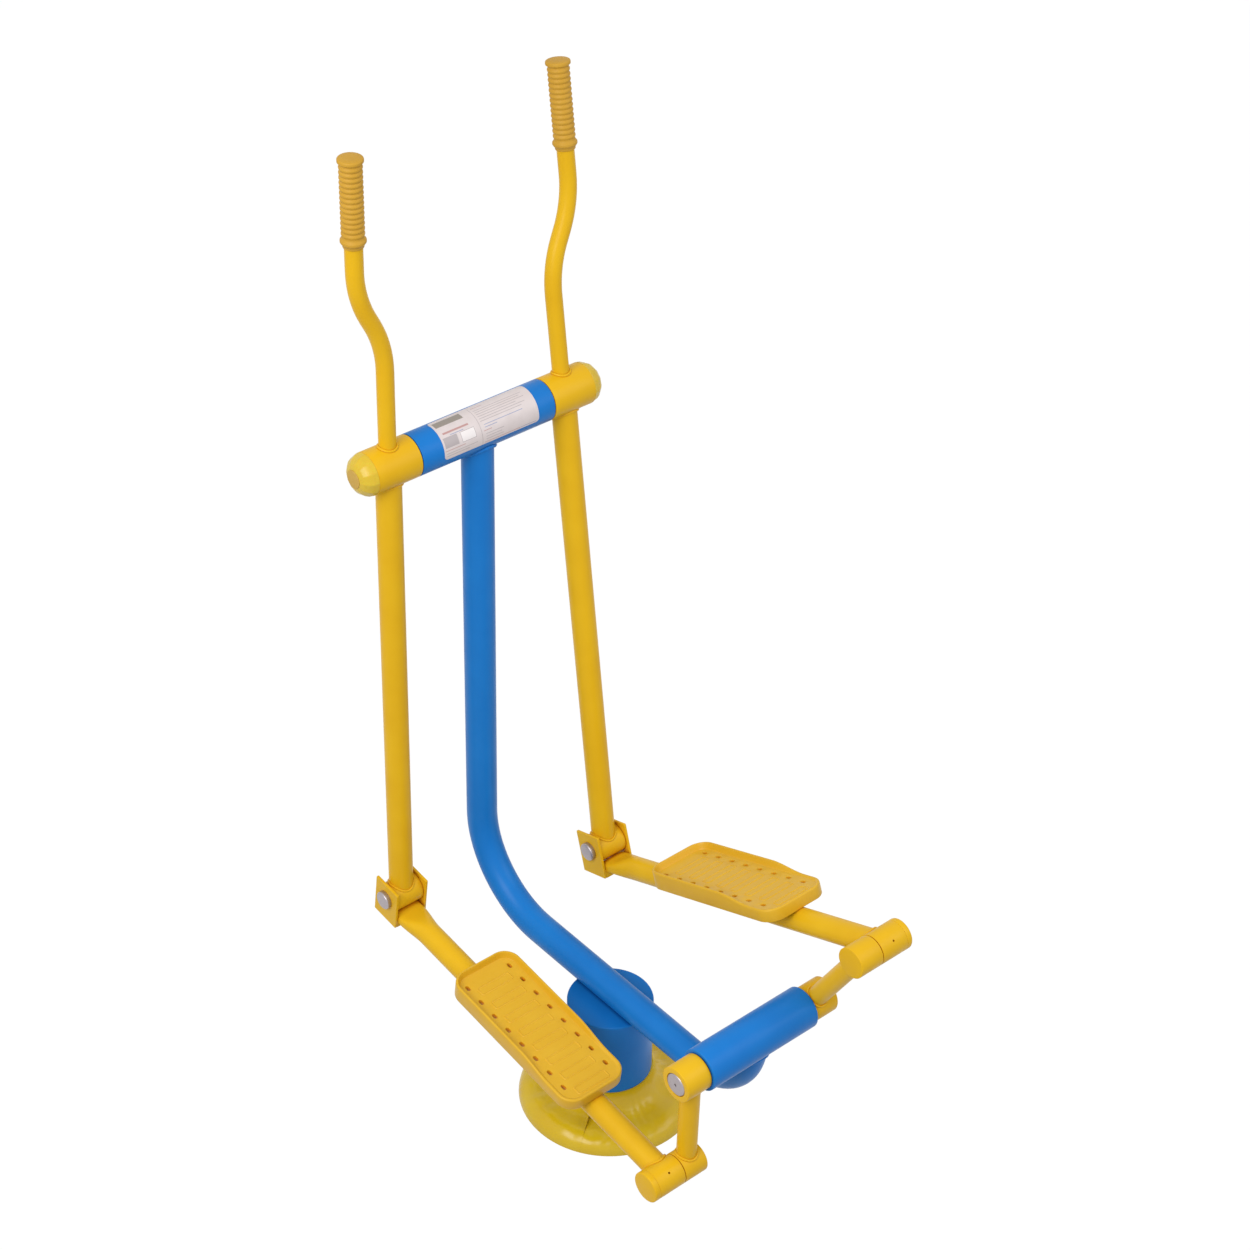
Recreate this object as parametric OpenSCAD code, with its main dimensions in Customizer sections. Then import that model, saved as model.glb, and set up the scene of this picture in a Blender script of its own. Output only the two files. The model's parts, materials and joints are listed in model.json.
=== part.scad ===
// Outdoor cross trainer with swinging arms, long foot bars and a rear crank.
// Millimetres. X runs across the machine, Y towards the front post, Z up.
// The origin is the centre of the round base flange on the ground.
// A "left" piece lies at negative X, on the left hand of a user who faces the post.

/* [Base] */
// Outer diameter of the moulded base cover on the ground
cover_d = 336; // [310:1:380]
// Height of the base cover where it meets the drum
cover_h = 74; // [60:1:80]
// Wall of the base cover
cover_wall = 3; // [2:0.5:5]
// Radius of the rounded brim of the base cover
brim_r = 34; // [24:1:38]
// Radius of the hollow flare between the brim and the neck of the cover
flare_r = 40; // [30:1:44]
// Angle of the seam between the two halves of the cover
seam_angle = 32; // [0:1:90]
// Height of the collar where the cover clasps the drum
collar_h = 12; // [6:1:20]
// Diameter of the steel base flange
flange_d = 286; // [270:1:296]
// Thickness of the base flange
flange_t = 12; // [8:1:16]
// Diameter of the circle through the anchor holes
anchor_pcd = 236; // [220:1:250]
// Number of anchor holes
anchor_count = 4; // [3:1:8]
// Diameter of an anchor hole
anchor_hole_d = 18; // [12:1:22]

/* [Pedestal drum] */
// Outer diameter of the drum
drum_d = 159; // [140:1:168]
// Wall of the drum
drum_wall = 5; // [3:0.5:8]
// Thickness of the drum lid
lid_t = 8; // [6:1:14]
// Radius of the rounded edge of the drum lid
lid_edge_r = 3; // [1:0.5:5]
// Depth to which the main tube is let into the drum lid
lid_seat = 1; // [0.5:0.25:3]

/* [Main tube] */
// Outer diameter of the bent main tube
post_d = 57; // [50:1:60]
// Wall of the main tube
post_wall = 3.5; // [2.5:0.5:5]
// Height of the axis of the level part of the main tube
arm_z = 265; // [250:1:280]
// Radius of the front bend of the main tube
front_bend_r = 175; // [150:5:210]
// Radius of the rear bend of the main tube
rear_bend_r = 140; // [120:5:152]

/* [Crossbar] */
// Distance of the crossbar axis in front of the base centre
pivot_y = 377; // [350:1:400]
// Height of the crossbar axis
pivot_z = 1280.6; // [1240:0.1:1300]
// Outer diameter of the crossbar and of the arm hubs
hub_d = 76; // [72:1:80]
// Inner diameter of the crossbar and of the arm hubs
hub_bore_d = 62; // [56:1:64]
// Diameter of the fixed top axle
axle_d = 30; // [24:1:32]
// Length of each plug that holds the axle in the crossbar
plug_len = 22; // [14:1:30]
// Length of the blank label plate
label_len = 200; // [150:1:220]
// Offset of the label plate's centre from the middle of the crossbar
label_shift = 3; // [0:1:12]
// Angle round the crossbar that the label plate covers
label_wrap = 123; // [90:1:200]
// Angle at which the label plate starts, from the front
label_start = 70; // [45:1:85]
// Thickness of the label plate
label_t = 0.6; // [0.4:0.1:1.2]

/* [Arms] */
// Distance from the crossbar axis to the foot bar pivot
arm_len = 943.3; // [900:0.1:960]
// Outer diameter of the lower arm tube
arm_d = 45; // [40:1:46]
// Wall of the lower arm and foot bar tubes
arm_wall = 3; // [2:0.5:4]
// Gap between a moving hub and the fixed housing beside it
side_gap = 1.5; // [1:0.5:3]
// Length of an arm hub
hub_len = 88; // [84:1:92]
// Distance from the arm's axis in to the middle of its hub
hub_shift = 0.5; // [0:0.5:2]
// Length of the bearing cartridge in an arm hub
hub_bearing_len = 60; // [50:1:64]
// Gap between an axle and its bearing, on the radius
running_gap = 0.05; // [0.02:0.01:0.1]
// Outer diameter of the bush at the lower end of an arm
arm_bush_d = 57; // [54:1:60]
// Diameter of the foot bar pivot pin
pivot_pin_d = 20; // [16:1:24]

/* [Domed caps] */
// How far the domed cap stands out of the hub
dome_h = 27; // [22:1:32]
// Wall of the domed cap
dome_wall = 3; // [2:0.5:4]
// Length of the cap's spigot in the hub
spigot_len = 7; // [4:1:9]
// Diameter of the flat disc on the end of the cap
cap_disc_d = 33; // [24:1:36]
// Thickness of the flat disc on the cap
cap_disc_t = 2; // [1.5:0.25:3]
// Diameter of the washer-faced nut on the top axle, across its corners
nut_d = 42; // [36:1:46]
// Thickness of the nut on the top axle
nut_t = 14; // [10:1:16]

/* [Handles] */
// Outer diameter of the handle tube
handle_d = 30; // [28:1:34]
// Wall of the handle tube
handle_wall = 2.5; // [2:0.5:4]
// Sideways step of the handle tube
handle_step = 52; // [40:1:60]
// Height above the crossbar axis where the step starts
step_low = 180; // [150:5:200]
// Height above the crossbar axis where the step ends
step_high = 380; // [360:5:396]
// Height above the crossbar axis where the grip starts
grip_start = 424; // [400:1:430]
// Length of the grip
grip_len = 152; // [140:1:170]
// Diameter of the grip over its ribs
grip_d = 38; // [37:0.2:40]
// Diameter of the rims at the two ends of the grip
grip_rim_d = 42; // [41:0.5:46]
// Height of the collar at the lower end of the grip
grip_collar_h = 19; // [16:1:22]
// Height of the widest part of the collar above its lower end
grip_collar_mid = 12; // [10:1:14]
// Diameter of the lower end of the collar
grip_foot_d = 34; // [33:0.5:36]
// Height of the cap at the upper end of the grip
grip_cap_h = 11.4; // [9:0.2:14]
// Number of ribs on the grip
grip_ribs = 14; // [10:1:20]
// Depth of the grooves between the grip ribs
grip_groove = 1.6; // [1:0.2:2.2]

/* [Crank] */
// Distance of the crank axis behind the base centre
crank_back = 368; // [350:1:385]
// Height of the crank axis
crank_z = 420; // [417:1:440]
// Distance from the crank axis to the rear bush
crank_r = 213; // [190:1:216]
// Angle of the left crank from straight down, forward positive
left_crank_angle = 0.5; // [-10:0.5:10]
// Angle of the right crank from straight down, forward positive
right_crank_angle = 210; // [200:0.5:215]
// Outer diameter of the crank housing
crank_housing_d = 78; // [74:1:84]
// Length of the crank housing
crank_housing_len = 239; // [230:1:240]
// Diameter of the crank shaft
crank_shaft_d = 30; // [24:1:34]
// Width of a crank bearing
crank_bearing_len = 16; // [12:1:20]
// Distance of a crank bearing inside the end of the housing
crank_bearing_inset = 4; // [2:1:8]
// Outer diameter of a crank hub
crank_hub_d = 66; // [60:1:70]
// Length of a crank hub
crank_hub_len = 52; // [48:1:54]
// Outer diameter of the crank arm tube
crank_arm_d = 36; // [30:1:38]
// Distance from the inner end of a crank hub to the axis of its crank arm
crank_arm_inset = 17.5; // [17:0.5:20]
// Outer diameter of the crank ends and the rear bushes
rear_tube_d = 57; // [54:1:60]
// Length of a crank end
crank_end_len = 49; // [46:1:50]
// Distance from the axis of a crank arm to the inner end of its crank end
crank_end_reach = 25.5; // [24:0.5:27]
// Gap between a crank end and the rear bush beside it
rear_gap = 1.5; // [1:0.5:2]
// Diameter of the silver disc in a crank hub
hub_disc_d = 43; // [38:1:46]
// Thickness of the silver disc in a crank hub
hub_disc_t = 4; // [3:0.5:6]
// Depth of the silver disc below the hub's face
hub_disc_depth = 0.5; // [0.25:0.25:1]

/* [Foot bars] */
// Distance along the foot bar from the rear bush to the front pivot
bar_len = 759.6; // [740:0.1:780]
// Height of the front pivot above the axis of the foot bar
bar_rise = 36; // [34:0.5:42]
// Length of a rear bush
rear_bush_len = 56.5; // [54:0.5:60]
// Wall of a rear bush
rear_bush_wall = 6; // [4:0.5:10]
// Length of the end cap on a rear bush
end_cap_len = 11; // [8:0.5:14]
// Diameter of the grease hole in a rear bush
grease_hole_d = 4; // [3:0.5:6]
// Angle of the left bush's grease hole, from straight up towards the rear
left_grease_angle = 27; // [0:1:90]
// Angle of the right bush's grease hole, from straight up towards the rear
right_grease_angle = 68; // [0:1:90]
// Distance between the outer faces of the clevis plates
clevis_w = 71; // [68:0.5:74]
// Thickness of a clevis plate
clevis_t = 5; // [4.5:0.5:6]
// Length of a clevis plate along the foot bar
clevis_len = 64; // [60:1:68]
// Height of a clevis plate
clevis_h = 86; // [80:1:92]
// Distance from the pivot to the front edge of a clevis plate
clevis_nose = 32; // [28:1:34]
// How much the right clevis is tilted on its foot bar, front up
right_clevis_tilt = 5; // [0:0.5:6]
// Width of the pressed front end of a foot bar
press_w = 59; // [52:0.5:60]
// Height of the pressed front end of a foot bar
press_h = 22; // [18:0.5:22]
// Length of the pressed front end of a foot bar
press_len = 26; // [20:1:34]
// Distance from the pivot back to the front end of the foot bar
bar_tip = 15; // [15:0.5:20]
// Distance from the pivot to the lower edge of a clevis plate
clevis_drop = 52; // [48:0.5:54]
// Diameter of the silver cap on the pivot pin
pin_cap_d = 35; // [30:1:38]
// How far the silver cap stands out of the clevis
pin_cap_t = 9.5; // [7:0.5:12]
// Thickness of the nut on the other end of the pivot pin
pin_nut_t = 6; // [5:1:10]

/* [Footplates] */
// Length of a footplate
foot_len = 344; // [320:1:350]
// Width of a footplate
foot_w = 137; // [126:1:140]
// Radius of the corners of a footplate
foot_corner_r = 32; // [24:1:40]
// Distance from the rear bush to the rear edge of the footplate
foot_back = 184; // [178:1:190]
// How much further forward the right footplate is fixed than the left one
right_foot_shift = 14; // [0:1:16]
// Wall of the footplate
foot_wall = 4; // [3:0.5:5]
// Gap between the foot bar and the lower edge of the footplate
foot_gap = 0.5; // [0.5:0.25:2]
// Height of the footplate floor above its lower edge
foot_floor_h = 21; // [18:0.5:24]
// Height of the tall rim above the floor
tall_rim = 13; // [9:0.5:16]
// Height of the low rim above the floor
low_rim = 2.5; // [2:0.5:4]
// Distance from the rear edge to the start of the slope of the rim
rim_slope_start = 66; // [60:1:80]
// Distance from the rear edge to the end of the slope of the rim
rim_slope_end = 133; // [120:1:150]
// Number of rows of drain holes
hole_rows = 8; // [5:1:8]
// Distance between the two columns of drain holes
hole_column_gap = 95; // [88:1:96]
// Distance from the front edge to the first row of drain holes
hole_inset = 31; // [28:1:34]
// Distance from the rear edge to the last row of drain holes
hole_tail = 40.7; // [38:0.1:50]
// Length of a drain hole
hole_len = 12; // [8:1:14]
// Width of a drain hole
hole_w = 6.5; // [4:0.5:7]
// Length of a raised tread pad
pad_len = 72; // [60:1:74]
// Width of a raised tread pad
pad_w = 20; // [16:1:22]
// Height of a raised tread pad
pad_h = 0.8; // [0.5:0.1:1.5]
// Length along the bar of a plate that carries the footplate
seat_len = 44; // [36:1:50]
// Width of a plate that carries the footplate
seat_w = 96; // [80:1:104]
// Thickness of a plate that carries the footplate
seat_t = 6; // [5:0.5:8]
// Distance from an end of the footplate to the middle of the carrying plate near it
seat_inset = 67; // [60:1:80]
// Thickness of the stiffening ribs under the footplate
under_rib_t = 3; // [2:0.5:4]

/* [Hidden] */
$fn = 96;
LEFT = -1;
RIGHT = 1;
// Overrun of a cutter past the solid that it cuts
over = 1;
// Thickness of the glue under the label plate
label_glue = 0.1;
// Length of the wall that closes the front end of a foot bar
bar_plug_t = 4;
// Small hole in the middle of the silver disc of a crank hub
hub_dot_d = 4;
// Depth of the round edge on a rear end cap
end_cap_edge_r = 2;
// Radius of the rounded edge of the grip's cap
grip_edge_r = 2;
// Height of the upright foot of the grip's collar, and of the upright band of each rim
grip_band_h = 2;
// Wall over the end of the handle tube in the grip
grip_end_t = 6;
// Radius of the rounded edge of the silver pin cap
pin_cap_edge_r = 3;
// Height of the clevis web above the lower edge of its plates
clevis_web_h = 17;
// Tilt of the handle's sideways step, as a share of the tilt of a step without a straight middle
step_tilt_share = 0.92;
// How much a bend draws the handle tube in, on the radius
bend_draw = 0.05;
// Width of the ribbed patch under the footplate
under_rib_w = 80;
// Depth of a carrying plate's saddle over the foot bar
seat_sink = 2;

crank_y = -crank_back;
drum_top = arm_z - post_d / 2 + lid_seat;
crank_hub_start = crank_housing_len / 2 + side_gap;
crank_hub_end = crank_hub_start + crank_hub_len;
crank_arm_x = crank_hub_start + crank_arm_inset;
crank_end_start = crank_arm_x - crank_end_reach;
crank_end_end = crank_end_start + crank_end_len;
rear_bush_start = crank_end_end + rear_gap;
rear_bush_end = rear_bush_start + rear_bush_len;
arm_x = rear_bush_start + arm_d / 2;
bush_start = arm_x - arm_d / 2;
hub_start = arm_x - hub_shift - hub_len / 2;
hub_end = hub_start + hub_len;
crossbar_len = 2 * (hub_start - side_gap);
clevis_in = clevis_w / 2 - clevis_t;
arm_bush_len = 2 * clevis_in - 2 * side_gap / 3;
bar_end = bar_len - bar_tip;
bar_reach = sqrt(bar_len * bar_len + bar_rise * bar_rise);
foot_bottom = arm_d / 2 + foot_gap;
foot_floor = foot_bottom + foot_floor_h;
hole_pitch = (foot_len - hole_inset - hole_tail) / (hole_rows - 1);
seat_offset = foot_len / 2 - seat_inset;
step_len = step_high - step_low;
step_tilt = step_tilt_share * 2 * atan(handle_step / step_len);
step_r = (step_len * sin(step_tilt) - handle_step * cos(step_tilt)) / (2 * (1 - cos(step_tilt)));
grip_end = grip_start + grip_len;
nut_start = hub_end - spigot_len - dome_wall;

// Height and distance of a rear bush, for a crank angle from straight down
function rear_pin(angle) = [crank_y + crank_r * sin(angle), crank_z - crank_r * cos(angle)];
// Angle of an arm from straight down that lets its foot bar reach the crank
function arm_angle(angle) =
    let (pin = rear_pin(angle))
    let (reach = norm([pin[0] - pivot_y, pin[1] - pivot_z]))
    let (sight = atan2(pin[0] - pivot_y, pivot_z - pin[1]))
    let (spread = (arm_len * arm_len + reach * reach - bar_reach * bar_reach) / (2 * arm_len * reach))
    sight + acos(spread);
// Slope of a foot bar, front end up positive
function bar_slope(angle) =
    let (pin = rear_pin(angle))
    let (swing = arm_angle(angle))
    let (front = [pivot_y + arm_len * sin(swing), pivot_z - arm_len * cos(swing)])
    atan2(front[1] - pin[1], front[0] - pin[0]) - asin(bar_rise / bar_reach);
function crank_angle(side) = side == LEFT ? left_crank_angle : right_crank_angle;
function foot_heel(side) = foot_back + (side == LEFT ? 0 : right_foot_shift);
function grease_angle(side) = side == LEFT ? left_grease_angle : right_grease_angle;

// Places a right hand piece on the side asked for
module on_side(side) {
    if (side == LEFT) mirror([1, 0, 0]) children();
    else children();
}

// A round bar along X, from one place to another
module cross_bar(d, from, to) {
    translate([from, 0, 0]) rotate([0, 90, 0]) cylinder(d = d, h = to - from);
}

// A tube along X, from one place to another
module cross_tube(d, bore, from, to) {
    difference() {
        cross_bar(d, from, to);
        cross_bar(bore, from - over, to + over);
    }
}

// A shape turned round the X axis: its profile has the distance along X as y
module turned(from, angle = 360) {
    translate([from, 0, 0]) rotate([90, 0, 90]) rotate_extrude(angle = angle) children();
}

module at_crossbar() {
    translate([0, pivot_y, pivot_z]) children();
}

module at_crank() {
    translate([0, crank_y, crank_z]) children();
}

// Frame of an arm: the origin is on the crossbar axis and Z runs up along the arm
module at_arm(side) {
    translate([0, pivot_y, pivot_z]) rotate([arm_angle(crank_angle(side)), 0, 0]) children();
}

// Frame of a crank: the origin is on the crank axis and the crank points to minus Z
module at_crank_side(side) {
    at_crank() rotate([crank_angle(side), 0, 0]) children();
}

// Frame of a foot bar: the origin is the rear bush and Y runs forward along the bar
module at_bar(side) {
    pin = rear_pin(crank_angle(side));
    translate([0, pin[0], pin[1]]) rotate([bar_slope(crank_angle(side)), 0, 0]) children();
}

// Base

module base_flange() {
    color("dimgray") difference() {
        cylinder(d = flange_d, h = flange_t);
        for (i = [0 : anchor_count - 1])
            rotate([0, 0, (i + 0.5) * 360 / anchor_count])
                translate([anchor_pcd / 2, 0, -over])
                    cylinder(d = anchor_hole_d, h = flange_t + 2 * over);
    }
}

// Section through the base cover: a round brim, a level ring and a hollow flare
module cover_section(inset) {
    brim_x = cover_d / 2 - brim_r;
    neck_r = drum_d / 2 + cover_wall;
    flare_x = neck_r + flare_r;
    level = brim_r - inset;
    translate([brim_x, 0]) intersection() {
        circle(r = brim_r - inset);
        square(brim_r);
    }
    square([brim_x, level]);
    difference() {
        square([flare_x, cover_h]);
        translate([flare_x, cover_h]) circle(r = flare_r + inset);
        translate([0, level]) translate([flare_x, 0]) square(cover_h);
    }
}

module cover_half(turn) {
    color("gold") rotate([0, 0, turn]) rotate_extrude(angle = 180) {
        difference() {
            cover_section(0);
            cover_section(cover_wall);
            translate([0, -over]) square([drum_d / 2, cover_h + 2 * over]);
        }
        translate([drum_d / 2, cover_h - collar_h]) square([cover_wall, collar_h]);
    }
}

module pedestal_drum() {
    color("royalblue") translate([0, 0, flange_t]) difference() {
        cylinder(d = drum_d, h = drum_top - lid_t - flange_t);
        translate([0, 0, -over])
            cylinder(d = drum_d - 2 * drum_wall, h = drum_top - lid_t - flange_t + 2 * over);
    }
}

module drum_lid() {
    color("royalblue") difference() {
        translate([0, 0, drum_top - lid_t]) rotate_extrude() {
            square([drum_d / 2, lid_t - lid_edge_r]);
            square([drum_d / 2 - lid_edge_r, lid_t]);
            translate([drum_d / 2 - lid_edge_r, lid_t - lid_edge_r]) circle(r = lid_edge_r);
        }
        translate([0, drum_d, arm_z]) rotate([90, 0, 0]) cylinder(d = post_d, h = 2 * drum_d);
    }
}

// Main tube

// A quarter bend in the YZ plane round the origin, starting at an angle from +Y
module bend(radius, d, start) {
    rotate([90, 0, 90]) rotate([0, 0, start])
        rotate_extrude(angle = 90) translate([radius, 0]) circle(d = d);
}

module main_run(d) {
    front_y = pivot_y - front_bend_r;
    rear_y = crank_y + rear_bend_r;
    translate([0, pivot_y, arm_z + front_bend_r])
        cylinder(d = d, h = pivot_z - arm_z - front_bend_r);
    translate([0, front_y, arm_z + front_bend_r]) bend(front_bend_r, d, -90);
    translate([0, front_y, arm_z]) rotate([90, 0, 0]) cylinder(d = d, h = front_y - rear_y);
    translate([0, rear_y, arm_z + rear_bend_r]) bend(rear_bend_r, d, 180);
    translate([0, crank_y, arm_z + rear_bend_r])
        cylinder(d = d, h = crank_z - arm_z - rear_bend_r);
}

module main_tube() {
    color("royalblue") difference() {
        main_run(post_d);
        main_run(post_d - 2 * post_wall);
        at_crossbar() cross_bar(hub_d, -post_d, post_d);
        at_crank() cross_bar(crank_housing_d, -post_d, post_d);
    }
}

// Crossbar

module crossbar_housing() {
    color("royalblue") at_crossbar()
        cross_tube(hub_d, hub_bore_d, -crossbar_len / 2, crossbar_len / 2);
}

module crossbar_plug(side) {
    color("gray") at_crossbar() on_side(side)
        cross_tube(hub_bore_d, axle_d, crossbar_len / 2 - plug_len, crossbar_len / 2);
}

module label_plate() {
    color("gainsboro") at_crossbar() rotate([label_start, 0, 0])
        turned(label_shift - label_len / 2, label_wrap)
            translate([hub_d / 2 + label_glue, 0]) square([label_t, label_len]);
}

module top_axle() {
    color("silver") at_crossbar() cross_bar(axle_d, -nut_start - nut_t, nut_start + nut_t);
}

module axle_nut(side) {
    color("silver") at_crossbar() on_side(side) difference() {
        translate([nut_start, 0, 0]) rotate([0, 90, 0]) cylinder(d = nut_d, h = nut_t, $fn = 6);
        cross_bar(axle_d, nut_start - over, nut_start + nut_t + over);
    }
}

// Arms

module arm_hub(side) {
    color("goldenrod") at_crossbar() on_side(side)
        cross_tube(hub_d, hub_bore_d, hub_start, hub_end);
}

module hub_bearing(side) {
    middle = hub_start + hub_len / 2 - spigot_len;
    color("gray") at_crossbar() on_side(side)
        cross_tube(hub_bore_d, axle_d + 2 * running_gap,
            middle - hub_bearing_len / 2, middle + hub_bearing_len / 2);
}

// Half section of a dome, from the hub's end outwards
module dome_section(radius, height) {
    flat_r = radius - height;
    square([flat_r, height]);
    translate([flat_r, 0]) intersection() {
        circle(r = height);
        square(height);
    }
}

module domed_cap(side) {
    color("gold") at_crossbar() on_side(side) difference() {
        union() {
            turned(hub_end) dome_section(hub_d / 2, dome_h);
            cross_bar(hub_bore_d, hub_end - spigot_len, hub_end + over);
        }
        turned(hub_end) dome_section(hub_bore_d / 2 - dome_wall, dome_h - dome_wall);
        cross_bar(hub_bore_d - 2 * dome_wall, hub_end - spigot_len - over, hub_end);
        cross_bar(cap_disc_d, hub_end + dome_h - cap_disc_t / 2, hub_end + dome_h + over);
    }
}

module cap_disc(side) {
    color("tan") at_crossbar() on_side(side)
        cross_bar(cap_disc_d, hub_end + dome_h - cap_disc_t / 2, hub_end + dome_h + cap_disc_t / 4);
}

// A bend of the handle tube in the XZ plane round the origin, drawn in a little
module step_arc(d, start) {
    rotate([90, 0, 0]) rotate([0, 0, start]) rotate_extrude(angle = step_tilt)
        translate([step_r, 0]) circle(d = d - 2 * bend_draw);
}

// The handle in the arm's frame: a straight, a bend, a tilted straight, a bend and a straight
module handle_run(d, top) {
    middle_len = (step_len - 2 * step_r * sin(step_tilt)) / cos(step_tilt);
    translate([arm_x, 0, 0]) cylinder(d = d, h = step_low + over / 2);
    translate([arm_x + step_r, 0, step_low]) step_arc(d, 180 - step_tilt);
    translate([arm_x + handle_step / 2, 0, step_low + step_len / 2]) rotate([0, step_tilt, 0])
        cylinder(d = d, h = middle_len + over, center = true);
    translate([arm_x + handle_step - step_r, 0, step_high]) step_arc(d, -step_tilt);
    translate([arm_x + handle_step, 0, step_high - over / 2])
        cylinder(d = d, h = top - step_high + over / 2);
}

module handle(side) {
    color("goldenrod") at_arm(side) on_side(side) difference() {
        handle_run(handle_d, grip_end - grip_end_t);
        handle_run(handle_d - 2 * handle_wall, grip_end);
        cross_bar(hub_d, hub_start, hub_end);
    }
}

// Half section of a grip: a collar, ribs, and a cap with a rounded edge
module grip_section() {
    core_r = grip_d / 2 - grip_groove;
    rim_r = grip_rim_d / 2;
    pitch = (grip_len - grip_collar_h - grip_cap_h) / grip_ribs;
    band_end = grip_len - grip_edge_r - grip_band_h;
    polygon([
        [0, 0], [grip_foot_d / 2, 0], [grip_foot_d / 2, grip_band_h],
        [rim_r, grip_collar_mid - grip_band_h], [rim_r, grip_collar_mid],
        [core_r, grip_collar_h], [core_r, grip_len - grip_cap_h],
        [rim_r, band_end], [rim_r, grip_len - grip_edge_r], [0, grip_len - grip_edge_r]
    ]);
    translate([0, band_end]) square([rim_r - grip_edge_r, grip_band_h + grip_edge_r]);
    translate([rim_r - grip_edge_r, grip_len - grip_edge_r]) circle(r = grip_edge_r);
    for (i = [0 : grip_ribs - 1])
        translate([0, grip_collar_h + (i + 0.25) * pitch]) square([grip_d / 2, pitch / 2]);
}

module grip(side) {
    color("khaki") at_arm(side) on_side(side)
        translate([arm_x + handle_step, 0, grip_start]) difference() {
            rotate_extrude() grip_section();
            translate([0, 0, -over]) cylinder(d = handle_d, h = grip_len - grip_end_t + over);
        }
}

module lower_arm(side) {
    color("goldenrod") at_arm(side) on_side(side) difference() {
        translate([arm_x, 0, -arm_len]) cylinder(d = arm_d, h = arm_len);
        translate([arm_x, 0, -arm_len - over])
            cylinder(d = arm_d - 2 * arm_wall, h = arm_len + 2 * over);
        cross_bar(hub_d, hub_start, hub_end);
        translate([0, 0, -arm_len]) cross_bar(arm_bush_d, bush_start - over, arm_x + arm_d);
    }
}

module arm_bush(side) {
    color("goldenrod") at_arm(side) on_side(side) translate([arm_x, 0, -arm_len])
        cross_tube(arm_bush_d, pivot_pin_d + 2 * running_gap, -arm_bush_len / 2, arm_bush_len / 2);
}

// Crank

module crank_housing() {
    color("royalblue") at_crank()
        cross_tube(crank_housing_d, hub_bore_d, -crank_housing_len / 2, crank_housing_len / 2);
}

module crank_bearing(side) {
    outer = crank_housing_len / 2 - crank_bearing_inset;
    color("gray") at_crank() on_side(side)
        cross_tube(hub_bore_d, crank_shaft_d + 2 * running_gap, outer - crank_bearing_len, outer);
}

module crank_shaft() {
    reach = crank_hub_end - hub_disc_depth - hub_disc_t;
    color("silver") at_crank() cross_bar(crank_shaft_d, -reach, reach);
}

module crank_hub(side) {
    color("goldenrod") at_crank() on_side(side) difference() {
        cross_tube(crank_hub_d, crank_shaft_d, crank_hub_start, crank_hub_end);
        cross_bar(hub_disc_d, crank_hub_end - hub_disc_depth - hub_disc_t, crank_hub_end + over);
    }
}

module crank_disc(side) {
    face = crank_hub_end - hub_disc_depth;
    color("silver") at_crank() on_side(side) difference() {
        cross_bar(hub_disc_d, face - hub_disc_t, face);
        cross_bar(hub_dot_d, face - hub_disc_t / 2, face + over);
    }
}

module crank_arm(side) {
    color("goldenrod") at_crank_side(side) on_side(side) difference() {
        translate([crank_arm_x, 0, -crank_r]) cylinder(d = crank_arm_d, h = crank_r);
        translate([crank_arm_x, 0, -crank_r - over])
            cylinder(d = crank_arm_d - 2 * arm_wall, h = crank_r + 2 * over);
        cross_bar(crank_hub_d, crank_hub_start - over, crank_hub_end);
        translate([0, 0, -crank_r]) cross_bar(rear_tube_d, crank_end_start, crank_end_end + over);
    }
}

module crank_end(side) {
    color("goldenrod") at_crank_side(side) on_side(side)
        translate([0, 0, -crank_r]) cross_bar(rear_tube_d, crank_end_start, crank_end_end);
}

// Foot bars

// The pressed end of a foot bar: flat above and below, with round sides
module pressed_bar(wide, high, from, to) {
    half = (wide - high) / 2;
    translate([arm_x, from, 0]) rotate([-90, 0, 0]) {
        translate([-half, -high / 2, 0]) cube([2 * half, high, to - from]);
        for (x = [-half, half]) translate([x, 0, 0]) cylinder(d = high, h = to - from);
    }
}

module clevis(side) {
    tilt = side == LEFT ? 0 : right_clevis_tilt;
    color("goldenrod") at_bar(side) on_side(side) difference() {
        translate([arm_x, bar_len, bar_rise]) rotate([tilt, 0, 0])
            translate([-clevis_w / 2, clevis_nose - clevis_len, -clevis_drop]) difference() {
                cube([clevis_w, clevis_len, clevis_h]);
                translate([clevis_t, clevis_t, -over])
                    cube([clevis_w - 2 * clevis_t, clevis_len, clevis_h + 2 * over]);
                translate([clevis_t, -over, clevis_web_h])
                    cube([clevis_w - 2 * clevis_t, clevis_len, clevis_h]);
                translate([0, clevis_len - clevis_nose, clevis_drop])
                    cross_bar(pivot_pin_d, -over, clevis_w + over);
            }
        pressed_bar(press_w, press_h, bar_end - press_len, bar_end);
    }
}

// The pin's capped end is to the left on both sides of the machine
module pivot_pin(side) {
    color("silver") at_bar(side) translate([side * arm_x, bar_len, bar_rise]) {
        cross_bar(pivot_pin_d, -clevis_w / 2, clevis_w / 2 + pin_nut_t);
        translate([clevis_w / 2, 0, 0]) rotate([0, 90, 0])
            cylinder(d = pin_cap_d, h = pin_nut_t, $fn = 6);
    }
}

module pin_cap(side) {
    color("silver") at_bar(side) translate([side * arm_x - clevis_w / 2, bar_len, bar_rise])
        mirror([1, 0, 0]) turned(0) {
            square([pin_cap_d / 2, pin_cap_t - pin_cap_edge_r]);
            square([pin_cap_d / 2 - pin_cap_edge_r, pin_cap_t]);
            translate([pin_cap_d / 2 - pin_cap_edge_r, pin_cap_t - pin_cap_edge_r])
                circle(r = pin_cap_edge_r);
        }
}

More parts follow.
